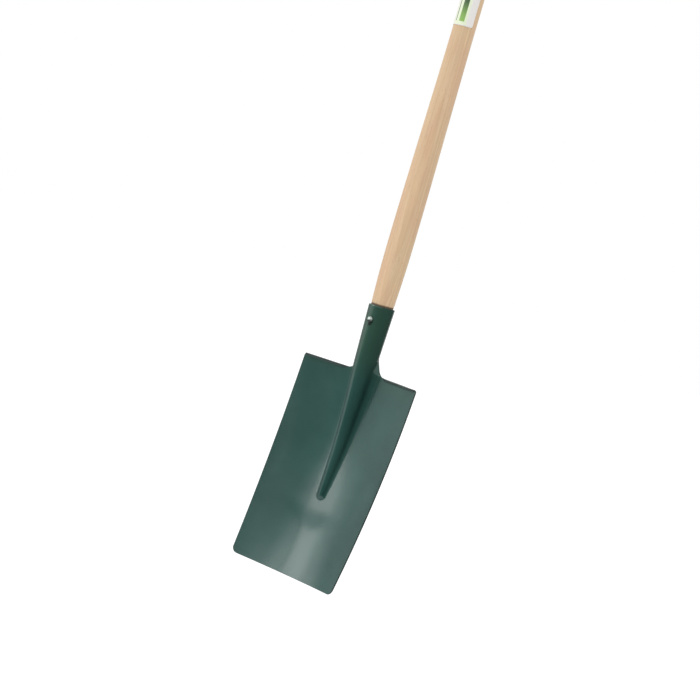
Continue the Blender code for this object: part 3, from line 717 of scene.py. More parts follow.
@dataclass
class Blade:
    """The pressed blade with its ridge, turned tread and rolled socket, one sheet of steel."""

    length: float = 0.287
    tread_width: float = 0.200
    foot_width: float = 0.183
    side_bow: float = 0.0018
    sheet: float = 0.0018
    rim: float = 0.00045
    corner_radius: float = 0.008
    foot_bow: float = 0.0024
    edge_forward: float = 0.0073
    lean_travel: float = 0.0214
    curve_travel: float = 0.0216
    dish_at_tread: float = 0.0153
    dish_at_nose: float = 0.0188
    dish_at_foot: float = 0.0145
    bend_radius: float = 0.0030
    tread_depth: float = 0.0050
    tread_run_out: float = 0.011
    tread_end_share: float = 0.03
    corner_cut: float = 0.0030
    tread_corner_radius: float = 0.0030
    ridge_length: float = 0.183
    ridge_half_width: float = 0.0250
    nose_half_width: float = 0.0085
    nose_height: float = 0.0031
    nose_round: float = 0.008
    nose_fall: float = 4.0
    nose_least: float = 0.02
    flare_start: float = 0.070
    flare_widest: float = 0.192
    flare_end: float = 0.230
    flare_half_width: float = 0.029
    flare_flatness: float = 0.5
    flare_edge_power: float = 5.0
    socket_height: float = 0.0908
    rim_diameter: float = 0.0363
    neck_diameter: float = 0.0306
    fillet_radius: float = 0.008
    roll_height: float = 0.026
    roll_start: float = 0.006
    neck_half_angle: float = math.radians(128)
    plate_turn: float = math.radians(40)
    plate_rise: float = 0.011
    seam_closed: float = 0.062
    seam_gap: float = 0.0016
    lip_fade: float = 0.020
    # How strongly the lips are darkened: edge wear, and painted shade of the tread's bend.
    lip_wear_and_shade: float = 0.5
    wing_crowding: float = 0.75
    flank_range: tuple[float, float] = (math.radians(0.01), math.radians(89))
    flank_halvings: int = 40
    arch_steps: int = 18
    throat_steps: int = 14
    plain_steps: int = 9
    wing_steps: int = 40
    lip_steps: int = 14
    fillet_steps: int = 14
    roll_steps: int = 12
    barrel_steps: tuple[int, int] = (20, 12)
    depth_steps: tuple[int, ...] = (8, 80, 22, 16, 26, 12)

    def radius(self, height: Numbers) -> Numbers:
        """Middle of the socket's sheet: a straight taper from the neck to the rim."""
        neck, rim = (self.neck_diameter - self.sheet) / 2, (self.rim_diameter - self.sheet) / 2
        return mix(neck, rim, height / self.socket_height)

    def edge_y(self, depth: Array) -> Array:
        """The side edges: a set-back, a lean and a forward curve with the square of depth."""
        share = depth / self.length
        return -self.edge_forward - self.lean_travel * share - self.curve_travel * share**2

    def dish(self, depth: Array) -> Array:
        """Depth of the dish: the parabola through its three set depths.

        Args:
            depth: Depths below the tread.

        Returns:
            How far the middle lies behind the side edges.
        """
        nose, foot = self.ridge_length, self.length
        at_tread = self.dish_at_tread * (depth - nose) * (depth - foot) / (nose * foot)
        at_nose = self.dish_at_nose * depth * (depth - foot) / (nose * (nose - foot))
        at_foot = self.dish_at_foot * depth * (depth - nose) / (foot * (foot - nose))
        return at_tread + at_nose + at_foot

    def straight_half(self, depth: Numbers) -> Numbers:
        """Half the width before the corners are rounded: a taper with a slight bow.

        Args:
            depth: Depths below the tread.

        Returns:
            The half widths.
        """
        share = depth / self.length
        bow = self.side_bow * 4 * share * (1 - share)
        return mix(self.tread_width, self.foot_width, share) / 2 + bow

    def foot_half(self, depth: Array) -> Array:
        """Half the width of the sheet inside its rim, drawn in on a circle at the foot corners.

        Args:
            depth: Depths below the tread.

        Returns:
            The half widths.
        """
        radius = self.corner_radius - self.rim
        into = np.clip(depth - (self.length - self.corner_radius), 0.0, radius)
        return self.straight_half(depth) - self.rim - (radius - arc(radius, into))

    def half(self, depth: Array) -> Array:
        """The same, drawn in on a circle at the tread corners too."""
        radius = self.tread_corner_radius
        return self.foot_half(depth) - (radius - arc(radius, np.clip(radius - depth, 0.0, radius)))

    def dished_y(self, x: Array, depth: Array) -> Array:
        """The dished sheet alone: a parabola across, between the side edges."""
        return self.edge_y(depth) + self.dish(depth) * (1 - (x / self.straight_half(depth)) ** 2)

    def flared_x(self, x: Array, depth: Array) -> Array:
        """Distance whose dish the flare lies at: the high-power mean of x and its half width.

        The half width opens like a quarter sine, and closes below the ridge's nose with the
        square root of a smooth step, because the flare's depth goes with the width squared.

        Args:
            x: Distances from the middle.
            depth: Depths below the tread.

        Returns:
            The distances.
        """
        opening = between(depth, self.flare_start, self.flare_widest)
        closing = between(depth, self.flare_widest, self.flare_end)
        half = self.flare_half_width * np.sin(QUARTER * opening) * np.sqrt(1 - ease(closing))
        return (x**self.flare_edge_power + half**self.flare_edge_power) ** (1 / self.flare_edge_power)

    def plain_y(self, x: Array, depth: Array) -> Array:
        """The dished sheet with the flare round the nose, where it is flatter across."""
        flared = self.dished_y(self.flared_x(x, depth), depth)
        return mix(self.dished_y(x, depth), flared, self.flare_flatness)

    def plain_slope(self, x: Array, depth: Array) -> Array:
        """Angle at which that sheet comes forward, going outward: its formula's slope.

        Args:
            x: Distances from the middle.
            depth: Depths below the tread.

        Returns:
            The angles.
        """
        held = self.flared_x(x, depth)
        share = (x / held) ** (self.flare_edge_power - 1) * held
        steepness = 2 * self.dish(depth) * mix(x, share, self.flare_flatness)
        return np.arctan(steepness / self.straight_half(depth) ** 2)

    def ridge(self, depth: Array, nose_share: Array) -> dict[str, Array]:
        """Sections of the ridge: a round arch, and a throat that turns out into the sheet.

        The flank's angle is found by halving its range, from 0.01 to 89 degrees, until arch and
        throat together rise as far as the crest stands before the sheet at the ridge's foot.

        Args:
            depth: Depths below the tread.
            nose_share: How much of the ridge is left at each depth, 1 above the nose.

        Returns:
            The sections' measures by name, each an array like depth.
        """
        down = np.minimum(depth / self.ridge_length, 1.0)
        foot_x = mix(self.ridge_half_width, self.nose_half_width, down) * nose_share
        foot_y = self.plain_y(foot_x, depth)
        slope = self.plain_slope(foot_x, depth)
        arch = self.radius(0.0) * foot_x / self.ridge_half_width
        tread_height = self.plain_y(np.zeros(1), np.zeros(1)) + self.radius(0.0)
        height = mix(tread_height, self.nose_height, down) * nose_share**self.nose_fall
        crest_y = self.plain_y(0.0 * depth, depth) - height
        low, high = (np.full_like(depth, angle) for angle in self.flank_range)
        for _ in range(self.flank_halvings):
            flank = (low + high) / 2
            throat = (foot_x - arch * np.sin(flank)) / (np.sin(flank) + np.sin(slope))
            rise = arch * (1 - np.cos(flank)) + throat * (np.cos(slope) - np.cos(flank))
            short = rise < foot_y - crest_y
            low = np.where(short, flank, low)
            high = np.where(short, high, flank)
        return {
            "foot_x": foot_x,
            "foot_y": foot_y,
            "slope": slope,
            "arch": arch,
            "crest_y": crest_y,
            "flank": flank,
            "throat": throat,
            "arch_x": arch * np.sin(flank),
            "throat_x": foot_x - throat * np.sin(slope),
            "throat_y": foot_y - throat * np.cos(slope),
        }

    def sheet_y(self, x: Array, depth: Array) -> Array:
        """The sheet below the tread: arch, throat or plain dish, by distance from the middle.

        Args:
            x: Distances from the middle.
            depth: Depths below the tread.

        Returns:
            The sheet's y.
        """
        into_nose = np.clip((depth - self.ridge_length + self.nose_round) / self.nose_round, 0.0, 1.0)
        nose_share = arc(1.0, into_nose)
        cut = self.ridge(depth, np.maximum(nose_share, self.nose_least))
        arch_y = cut["crest_y"] + cut["arch"] - arc(cut["arch"], x)
        throat_y = cut["throat_y"] + arc(cut["throat"], x - cut["throat_x"])
        ridged = np.where(x <= cut["arch_x"], arch_y, throat_y)
        is_plain = (x >= cut["foot_x"]) | (nose_share <= self.nose_least)
        return np.where(is_plain, self.plain_y(x, depth), ridged)

    def sheet_points(self, x: Array, depth: Array) -> Array:
        """Points of the right half of the sheet, with the foot's slight bow.

        Args:
            x: Distances from the middle.
            depth: Depths below the tread.

        Returns:
            The points.
        """
        sag = ease((depth - self.ridge_length) / (self.length - self.ridge_length))
        bow = self.foot_bow * sag * (1 - (x / self.straight_half(depth)) ** 2)
        return stacked(x, self.sheet_y(x, depth), -depth - bow)

    def neck_length(self) -> float:
        """Half the neck's width of sheet, between its fillet and the height where it is rolled."""
        return float(self.radius(self.roll_height)) * self.neck_half_angle

    def tread_section(self) -> dict[str, float]:
        """The ridge's section at the tread, as plain numbers."""
        section = self.ridge(np.zeros(1), np.ones(1))
        return {name: float(value[0]) for name, value in section.items()}

    def tread_lengths(self) -> Array:
        """Length of sheet from the middle to each inner column, at the tread.

        Returns:
            The lengths, from 0 to the fillet's line.
        """
        tread = self.tread_section()
        arch = tread["arch"] * tread["flank"]
        foot = arch + tread["throat"] * (tread["flank"] + tread["slope"])
        end = self.neck_length() + self.fillet_radius
        return np.concatenate(
            [
                arch * np.arange(self.arch_steps + 1) / self.arch_steps,
                mix(arch, foot, steps(self.throat_steps)),
                mix(foot, end, steps(self.plain_steps)),
            ]
        )

    def edge_share(self) -> Array:
        """0 for the inner columns up to the ridge's foot, and a smooth step to 1 at the last."""
        column = np.arange(self.arch_steps + self.throat_steps + self.plain_steps + 1)
        return ease((column - self.arch_steps - self.throat_steps) / self.plain_steps)

    def fillet_foot(self, depth: Array) -> Array:
        """The line of the sheet that starts where the neck's fillet meets the tread.

        Args:
            depth: Depths below the tread.

        Returns:
            Its distance from the middle.
        """
        lengths = self.tread_lengths()
        foot = lengths[self.arch_steps + self.throat_steps]
        tread = self.ridge_half_width + lengths[-1] - foot
        return tread * self.straight_half(depth) / self.straight_half(0.0)

    def inner_x(self, depth: Array) -> Array:
        """Columns from the middle over arch and throat to the fillet's line.

        Args:
            depth: Depths below the tread.

        Returns:
            Distances from the middle, rows x columns.
        """
        ridge = self.ridge(np.minimum(depth, self.ridge_length), np.ones_like(depth))
        cut = {name: value[:, None] for name, value in ridge.items()}
        turn = cut["flank"] * np.arange(self.arch_steps + 1) / self.arch_steps
        over = cut["arch"] * np.sin(turn)
        turn = mix(cut["flank"], -cut["slope"], steps(self.throat_steps))
        through = cut["throat_x"] - cut["throat"] * np.sin(turn)
        along = mix(cut["foot_x"], self.fillet_foot(depth)[:, None], steps(self.plain_steps))
        x = np.hstack([over, through, along])
        return x * (self.foot_half(depth) / self.straight_half(depth))[:, None]

    def wing_x(self, inner: Array, outer: Array) -> Array:
        """Columns from the fillet's line to the side edge, closer together near both.

        Args:
            inner: The line's distance from the middle, by row.
            outer: The edge's.

        Returns:
            Distances from the middle, rows x columns.
        """
        even = steps(self.wing_steps)
        share = mix(even, (1 - np.cos(np.pi * even)) / 2, self.wing_crowding)
        return mix(inner[:, None], outer[:, None], share)

    def lip_length(self, x: Array) -> Array:
        """Sheet turned over at the tread: a bend and a flat, less near the neck and corner.

        Args:
            x: Distances from the middle.

        Returns:
            Its length there.
        """
        run = (x - self.fillet_foot(0.0)) / self.tread_run_out
        left = np.clip((self.half(np.zeros(1)) - x) / self.corner_cut, 0.0, 1.0)
        share = mix(self.tread_end_share, 1.0, ease(run) * left * (2 - left))
        return (QUARTER * self.bend_radius + self.tread_depth - self.rim) * share

    def lip_start(self, x: Array) -> Array:
        """Depth at which the lip's bend starts, so that the turned tread's top is level."""
        turn = np.minimum(self.lip_length(x) / self.bend_radius, QUARTER)
        return (self.bend_radius + self.sheet / 2) * np.sin(turn) + self.rim * np.cos(turn)

    def lip_points(self, x: Array, share: float) -> Array:
        """Points of the lip: round the bend, then straight forward.

        Args:
            x: Distances from the middle.
            share: How far along its length.

        Returns:
            The points.
        """
        start = self.lip_start(x)
        travelled = self.lip_length(x) * share
        turn = np.minimum(travelled / self.bend_radius, QUARTER)
        beyond = np.maximum(travelled - self.bend_radius * QUARTER, 0.0)
        forward = self.bend_radius * (1 - np.cos(turn)) + beyond
        y = self.sheet_y(x, start) - forward
        return stacked(x, y, -start + self.bend_radius * np.sin(turn))

    def rolled(self, height: Array, length: Array) -> Array:
        """Points of the neck and socket.

        The sheet runs round an arc of the socket's radius up to its flank. Beyond it comes a
        throat that turns the other way, and then a straight plate. At the tread the throat
        turns back as far as the dish, and above it ever less, by a smooth step. The flank
        grows with the square of the height at first, and then evenly.

        Args:
            height: Heights above the tread.
            length: Lengths of sheet from the middle.

        Returns:
            The points.
        """
        tread = self.tread_section()
        throat = tread["throat"]
        radius = self.radius(height)
        gentle = np.minimum(height, self.roll_start) ** 2 / (2 * self.roll_start)
        climbed = gentle + np.maximum(height - self.roll_start, 0.0)
        up = np.clip(climbed / (self.roll_height - self.roll_start / 2), 0.0, 1.0)
        flank = np.where(up < 1.0, mix(tread["flank"], self.neck_half_angle, up), np.pi)
        on_arc = np.minimum(length / radius, flank)
        past = np.maximum(length - radius * flank, 0.0)
        straight = ease(height / self.plate_rise)
        least = mix(-tread["slope"], self.plate_turn, straight)
        turn = flank - past / throat
        plate = np.maximum(least - turn, 0.0) * throat
        turn = np.maximum(turn, least)
        x = radius * np.sin(on_arc) + throat * (np.sin(flank) - np.sin(turn)) * (past > 0)
        y = -radius * np.cos(on_arc) + throat * (np.cos(turn) - np.cos(flank)) * (past > 0)
        beyond = plate * math.cos(tread["slope"])
        dished = self.plain_y(tread["foot_x"] + beyond, 0.0) - tread["foot_y"]
        x = x + mix(beyond, plate * np.cos(least), straight)
        y = y + mix(dished, plate * np.sin(least), straight)
        return stacked(x, y, height)

    def rolled_rows(self) -> Array:
        """The right half above the tread.

        Returns:
            Rows of points, from the fillet's first row up to the rim.
        """
        lengths = self.tread_lengths()
        share = lengths / lengths[-1]
        even = np.arange(len(lengths)) / (len(lengths) - 1)
        neck = self.neck_length()
        angle = steps(self.fillet_steps)[:, None] * QUARTER
        fillet = self.fillet_radius * (1 - np.cos(angle))
        fillet = fillet - self.rim * np.cos(angle) * self.edge_share()
        fillet_half = neck + self.fillet_radius - (self.fillet_radius + self.rim) * np.sin(angle)
        roll = mix(self.fillet_radius, self.roll_height, steps(self.roll_steps))[:, None]
        roll_half = np.full_like(roll, neck - self.rim)
        closing_steps, closed_steps = (steps(count) for count in self.barrel_steps)
        level = np.concatenate(
            [
                mix(self.roll_height, self.seam_closed, closing_steps),
                mix(self.seam_closed, self.socket_height - self.rim, closed_steps),
            ]
        )[:, None]
        closing = ease((level - self.roll_height) / (self.seam_closed - self.roll_height))
        closed = math.pi - self.seam_gap / 2 / self.radius(level)
        barrel_half = self.radius(level) * mix(self.neck_half_angle, closed, closing) - self.rim
        above = np.vstack([roll, level])
        height = np.vstack([fillet, np.broadcast_to(above, (len(above), len(lengths)))])
        half = np.vstack([fillet_half, roll_half, barrel_half])
        evened = mix(share, even, ease(height / self.roll_height))
        return self.rolled(height, evened * half)

    def depths(self) -> Array:
        """Rows below the tread, close together at the tread, the nose and the corners.

        Returns:
            Their depths.
        """
        nose_start = self.ridge_length - self.nose_round
        corner_start = self.length - self.corner_radius
        corner, sides, nose, flare, plain, foot = (steps(count) for count in self.depth_steps)
        return np.concatenate(
            [
                self.tread_corner_radius * (1 - np.cos(QUARTER * corner)),
                mix(self.tread_corner_radius, nose_start, sides),
                nose_start + self.nose_round * np.sin(QUARTER * nose),
                mix(self.ridge_length, self.flare_end, flare),
                mix(self.flare_end, corner_start, plain),
                corner_start + (self.corner_radius - self.rim) * np.sin(QUARTER * foot),
            ]
        )

    def mid_surface(self) -> Surface:
        """The whole sheet: right half worked out, left half mirrored, lips and neck joined on.

        Returns:
            The sheet, without its thickness.
        """
        depth = np.concatenate([[0.0], self.depths()])
        inner = self.inner_x(depth)
        wing = self.wing_x(inner[:, -1], self.half(depth))
        inner_start = self.lip_start(inner[0, -1:]) * self.edge_share()
        start = np.concatenate([inner_start, self.lip_start(wing[0])])
        fading = 1 - ease(depth / self.lip_fade)
        below = np.minimum(depth[:, None] + start * fading[:, None], depth[-1])
        x = np.hstack([inner, wing])
        right = self.sheet_points(x, below)
        lip_x = x[0, inner.shape[1] - 1 :]
        lip = np.stack([self.lip_points(lip_x, share) for share in steps(self.lip_steps)])

        def whole(half: Array) -> Array:
            """Rows mirrored to the left of the middle column."""
            return np.concatenate([half[:, :0:-1] * MIRROR_X, half], axis=1)

        parts = (whole(right), whole(self.rolled_rows()[::-1]), lip, lip[:, ::-1] * MIRROR_X)
        firsts = np.cumsum([0] + [part[..., 0].size for part in parts])
        sheet, neck, right_lip, left_lip = map(numbered, parts, firsts)
        top, wings = sheet[:1], self.wing_steps
        joined = (
            sheet,
            np.vstack([neck, top[:, wings:-wings]]),
            np.vstack([right_lip[::-1], top[:, -wings - 1 :]]),
            np.vstack([left_lip[::-1], top[:, : wings + 1]]),
        )
        points = np.vstack([part.reshape(-1, 3) for part in parts])
        points = points + np.array([0.0, 0.0, TREAD_Z])
        return Surface(points, np.vstack([quads(index) for index in joined]))

    def build(self, paint: bpy.types.Material) -> bpy.types.Object:
        """Thicken the sheet, and mark its rims, and half as strongly its lips, for the paint's dark
        edges: edge wear, and painted shade of the turned tread's bend.

        Args:
            paint: Its finish.

        Returns:
            The piece.
        """
        middle = self.mid_surface()
        wall = middle.thickened(self.sheet, self.rim)
        piece = wall.to_object("pressed_blade")
        count = len(middle.points)
        # Rims get the full dark edge and lips half: edge wear, and painted shade of the turned tread.
        edge_wear_and_shade = np.ones(len(wall.points))
        edge_wear_and_shade[: 2 * count] = 0.0
        on_lips = np.arange(count - 2 * self.lip_steps * (self.wing_steps + 1), count)
        edge_wear_and_shade[np.concatenate([on_lips, on_lips + count])] = self.lip_wear_and_shade
        piece.data.attributes.new("rim", "FLOAT", "POINT").data.foreach_set("value", edge_wear_and_shade)
        return dress(piece, paint, "blade_and_socket")


@dataclass
class Shaft:
    """The turned shaft, from its tapered end in the socket to its tenon in the crossbar."""

    socket_height: float = 0.0908
    rim_diameter: float = 0.0308
    swell_diameter: float = 0.0350
    top_diameter: float = 0.0305
    swell_above_rim: float = 0.090
    swell_run_out: float = 0.320
    tapered_length: float = 0.076
    tapered_diameter: float = 0.009
    tenon_diameter: float = 0.0200
    neck_depth: float = 0.030
    below_flush: float = 0.00006
    kerf_share: float = 0.75
    kerf_above: float = 0.004
    around: int = 96

    def radius(self, height: Numbers) -> Numbers:
        """Radius above the rim: a quadratic swell, and a smooth step down to the top.

        Args:
            height: Heights above the socket's rim.

        Returns:
            The radii.
        """
        short = 1 - height / self.swell_above_rim
        lower = mix(self.swell_diameter, self.rim_diameter, short * short)
        down = ease((height - self.swell_above_rim) / self.swell_run_out)
        upper = mix(self.swell_diameter, self.top_diameter, down)
        return np.where(height <= self.swell_above_rim, lower, upper) / 2

    def profile(self, blade: Blade) -> Array:
        """Radius and height above the tread, from below the crossbar down to the tapered end.

        Args:
            blade: The blade that it sits in.

        Returns:
            Rows of radius and height.
        """
        low, high = self.socket_height + FIT, -TREAD_Z - self.neck_depth
        above = mix(low, high, np.linspace(1.0, 0.0, 190))
        rim, neck = self.rim_diameter / 2, blade.radius(0.0) - blade.sheet / 2 - FIT
        end = self.tapered_diameter / 2
        seat, cone = steps(8), np.linspace(0.0, 1.0, 30)[1:]
        turn = QUARTER * steps(7)[:-1]
        return np.vstack(
            [
                stacked(self.radius(above - self.socket_height), above),
                stacked(mix(rim, neck, seat), mix(self.socket_height, 0.0, seat)),
                stacked(mix(neck, end, cone), mix(0.0, end - self.tapered_length, cone)),
                stacked(end * np.cos(turn), -self.tapered_length + end * (1 - np.sin(turn))),
                [[POLE_RADIUS, -self.tapered_length]],
            ]
        )

    def skin(self, blade: Blade, grip: "Crossbar") -> Surface:
        """The shaft, coped to the crossbar: rings follow its underside in, and its top across.

        Args:
            blade: The blade at its lower end.
            grip: The crossbar at its upper end.

        Returns:
            The closed skin.
        """
        angle = 2 * np.pi * np.arange(self.around) / self.around
        circle = np.stack([np.cos(angle), np.sin(angle)])
        tenon, outer = self.tenon_diameter / 2, self.top_diameter / 2

        def ring(radius: float, height: Numbers) -> Array:
            """Points at one radius, at a height for each angle."""
            return stacked(*(circle * radius), height)

        def under(radius: float) -> Array:
            """The crossbar's underside, less the fit."""
            return -grip.surface_z(*(circle * radius), FIT)

        def over(radius: float) -> Array:
            """The crossbar's top, a hair below flush."""
            return grip.surface_z(*(circle * radius), -self.below_flush)

        top = [ring(radius, over(radius)) for radius in np.linspace(POLE_RADIUS, tenon, 9)]
        side = [ring(tenon, mix(over(tenon), under(tenon), share)) for share in steps(8)]
        shoulder = [ring(radius, under(radius)) for radius in mix(tenon, outer, steps(6))]
        neck = [ring(outer, mix(under(outer), -self.neck_depth, share)) for share in steps(6)[:-1]]
        lower = [ring(radius, height + TREAD_Z) for radius, height in self.profile(blade)]
        return Surface.ring_grid(np.stack(top + side + shoulder + neck + lower))

    def build(self, blade: Blade, grip: "Crossbar", wood: bpy.types.Material) -> bpy.types.Object:
        """The shaft with the wedge's kerf sawn in its tenon.

        Args:
            blade: The blade at its lower end.
            grip: The crossbar at its upper end.
            wood: Its finish.

        Returns:
            The piece.
        """
        piece = self.skin(blade, grip).to_object("turned_shaft")
        kerf_width = self.tenon_diameter * self.kerf_share
        drill(piece, grip.wedge_skin(FIT, self.kerf_above, kerf_width))
        return dress(piece, wood, "shaft")


@dataclass
class Crossbar:
    """The T-grip: a turned bar with the tenon wedged in its mortise and pinned through."""

    length: float = 0.126
    middle_diameter: float = 0.037
    end_diameter: float = 0.031
    end_round: float = 0.0055
    tenon_diameter: float = 0.0200
    wedge_top: float = 0.0032
    wedge_tip: float = 0.0012
    wedge_depth: float = 0.0150
    wedge_margin: float = 0.0006
    wedge_inset: float = 0.0002
    wedge_below_flush: float = 0.00003
    wedge_corner_rise: tuple[float, ...] = (1.0, 1.0, 0.985, 0.0, 0.0, 0.985)
    wedge_corner_side: tuple[float, ...] = (-0.9, 0.9, 1.0, 1.0, -1.0, -1.0)
    pin_diameter: float = 0.0040
    pin_below_middle: float = 0.0045
    pin_recess: float = 0.0003
    around: int = 128

    def radius(self, x: Array) -> Array:
        """Radius of the barrel: a parabola from the middle to the ends."""
        return mix(self.middle_diameter, self.end_diameter, (2 * x / self.length) ** 2) / 2

    def surface_z(self, x: Array, y: Array, grow: float) -> Array:
        """Height of the barrel's top over a point, grown by an allowance."""
        return np.sqrt((self.radius(x) + grow) ** 2 - y * y)

    def bar_skin(self) -> Surface:
        """The bar turned about X: flat ends, a quarter round, and the barrel between them.

        Returns:
            The closed skin.
        """
        straight = self.length / 2 - self.end_round
        flat = float(self.radius(np.array(straight))) - self.end_round
        turn = QUARTER * steps(14)
        disc = stacked(np.linspace(POLE_RADIUS, flat, 7), self.length / 2)
        rounded = (flat + self.end_round * np.sin(turn), straight + self.end_round * np.cos(turn))
        far = np.vstack([disc, stacked(*rounded)])
        near = far[::-1] * np.array([1.0, -1.0])
        along = np.linspace(straight, -straight, 152)[1:-1]
        barrel = stacked(self.radius(along), along)
        return turned(np.vstack([far, barrel, near]), self.around, Axis.X)

    def wedge_skin(self, grow: float, above: float, width: float) -> Surface:
        """The wedge, or the kerf that holds it: thick along X at its top, thin at its tip.

        Args:
            grow: Allowance on each face.
            above: How far it stands above the bar's top; 0 makes its top follow the bar.
            width: Its size along Y.

        Returns:
            The closed skin, made of rings that go from one side to the other along Y.
        """
        inner = np.linspace(-1, 1, 21) * (width / 2 - self.wedge_inset)
        y = np.concatenate([[-width / 2], inner, [width / 2]])
        inset = np.pad(np.zeros(21), 1, constant_values=self.wedge_inset)[:, None] * (above == 0)
        crown = self.surface_z(np.zeros_like(y), y, -self.wedge_below_flush) + above
        tip_z = self.middle_diameter / 2 - self.wedge_depth - grow
        rise = (crown - tip_z)[:, None]
        share = np.array(self.wedge_corner_rise)
        slope = (self.wedge_top - self.wedge_tip) / self.wedge_depth
        half = self.wedge_tip / 2 + grow + slope / 2 * rise * share - inset
        side = np.array(self.wedge_corner_side)
        grid = stacked(half * side, y[:, None], tip_z + rise * share)
        return Surface.ring_grid(grid[::-1])

    def pin_skin(self, radius: float, half: float) -> Surface:
        """The pin, or its hole: a turned rod along Y with chamfered ends.

        Args:
            radius: Its radius.
            half: Half its length.

        Returns:
            The closed skin.
        """
        chamfer = radius / 5
        face = [[0.0003, half], [radius * 0.5, half]]
        end = np.array(face + [[radius - chamfer, half], [radius, half - chamfer]])
        rod = np.vstack([end, end[::-1] * np.array([1.0, -1.0])])
        return turned(rod, 40, Axis.Y).moved(0.0, -self.pin_below_middle)

    def build(
        self, wood: bpy.types.Material, wedge_wood: bpy.types.Material, steel: bpy.types.Material
    ) -> None:
        """The bar with its mortise and pin hole, the wedge, and the pin.

        Args:
            wood: The bar's finish.
            wedge_wood: The wedge's.
            steel: The pin's.
        """
        bar = self.bar_skin().to_object("turned_crossbar")
        reach = self.middle_diameter
        bore = self.tenon_diameter / 2 + FIT
        hole = [[0.001, reach], [bore, reach], [bore, -reach], [0.001, -reach]]
        drill(
            bar,
            turned(np.array(hole), 96),
            self.pin_skin(self.pin_diameter / 2 + FIT / 2, reach),
        )
        dress(bar, wood, "t_grip")

        width = self.tenon_diameter - 2 * self.wedge_margin
        wedge = self.wedge_skin(0.0, 0.0, width).to_object("tenon_wedge")
        crisp(wedge)
        dress(wedge, wedge_wood, "grip_wedge")

        low = self.pin_below_middle + self.pin_diameter / 2
        half = math.sqrt((self.middle_diameter / 2) ** 2 - low**2) - self.pin_recess
        pin = self.pin_skin(self.pin_diameter / 2, half).to_object("cross_pin")
        crisp(pin)
        dress(pin, steel, "grip_pin")


@dataclass
class Nail:
    """The domed nail through the socket's front."""

    below_rim: float = 0.0203
    head_diameter: float = 0.0086
    head_height: float = 0.0022
    shank_diameter: float = 0.0034
    length: float = 0.022
    dome_power: float = 0.8
    rim_share: float = 0.13
    under_share: float = 0.97
    tip_share: float = 0.15
    seat_depth: float = 0.00005

    def build(self, blade: Blade, steel: bpy.types.Material) -> bpy.types.Object:
        """A dome whose height falls with a power of the cosine, a short rim, and the shank.

        Args:
            blade: The blade whose socket it goes through.
            steel: Its finish.

        Returns:
            The piece.
        """
        head, shank = self.head_diameter / 2, self.shank_diameter / 2
        turn = QUARTER * np.linspace(0.02, 0.94, 20)
        dome = stacked(head * np.sin(turn), self.head_height * np.cos(turn) ** self.dome_power)
        rim = [[head, self.head_height * self.rim_share], [head, 0.0]]
        under = [[head * self.under_share, -self.seat_depth], [shank, -self.seat_depth]]
        point = [[shank, 2 * shank - self.length], [shank * self.tip_share, -self.length]]
        profile = np.vstack([dome, rim, under, point]) * np.array([1.0, -1.0])
        height = blade.socket_height - self.below_rim
        seat_y = -(blade.radius(height) + blade.sheet / 2 + FIT)
        skin = turned(profile, 56, Axis.Y).flipped().moved(seat_y, height + TREAD_Z)
        piece = skin.to_object("domed_nail")
        crisp(piece)
        return dress(piece, steel, "socket_nail")


@dataclass
class Label:
    """The paper label bent round the front of the shaft."""

    above_rim: float = 0.3872
    length: float = 0.110
    half_angle: float = math.radians(77)
    thickness: float = 0.0003
    corner: float = 0.003
    rim: float = 0.00001
    rim_steps: int = 2
    columns: int = 60
    rows: int = 80

    def sheet(self, shaft: Shaft) -> Surface:
        """A sheet at the shaft's radius plus a fit, rounded at its corners.

        Args:
            shaft: The shaft that it is bent round.

        Returns:
            The sheet, without its thickness.
        """
        across = np.linspace(-1.0, 1.0, self.columns + 1)
        along = np.linspace(0.0, 1.0, self.rows + 1)
        height = self.above_rim + self.length * along
        radius = shaft.radius(height) + FIT + self.thickness / 2
        from_end = np.minimum(along, 1 - along) * self.length
        into = np.clip(self.corner - from_end, 0.0, self.corner)
        half = self.half_angle - (self.corner - arc(self.corner, into)) / radius
        angle, radius = half[:, None] * across, radius[:, None]
        z = (height + shaft.socket_height + TREAD_Z)[:, None]
        grid = stacked(radius * np.sin(angle), -radius * np.cos(angle), z)
        return Surface(grid.reshape(-1, 3), quads(numbered(grid))).flipped()

    def build(self, shaft: Shaft, paper: bpy.types.Material) -> bpy.types.Object:
        """The sheet with its thickness, and a UV map of the angle round and the height.

        Args:
            shaft: The shaft that it is bent round.
            paper: Its finish.

        Returns:
            The piece.
        """
        wall = self.sheet(shaft).thickened(self.thickness, self.rim, self.rim_steps)
        piece = wall.to_object("paper_label")
        place = np.empty(len(piece.data.vertices) * 3)
        piece.data.vertices.foreach_get("co", place)
        x, y, z = place.reshape(-1, 3).T
        u = np.arctan2(x, -y) / self.half_angle / 2 + 0.5
        v = (z - TREAD_Z - shaft.socket_height - self.above_rim) / self.length
        corners = np.empty(len(piece.data.loops), int)
        piece.data.loops.foreach_get("vertex_index", corners)
        layer = piece.data.uv_layers.new(name="label")
        layer.data.foreach_set("uv", stacked(u, v)[corners].ravel())
        return dress(piece, paper, "shaft_label")


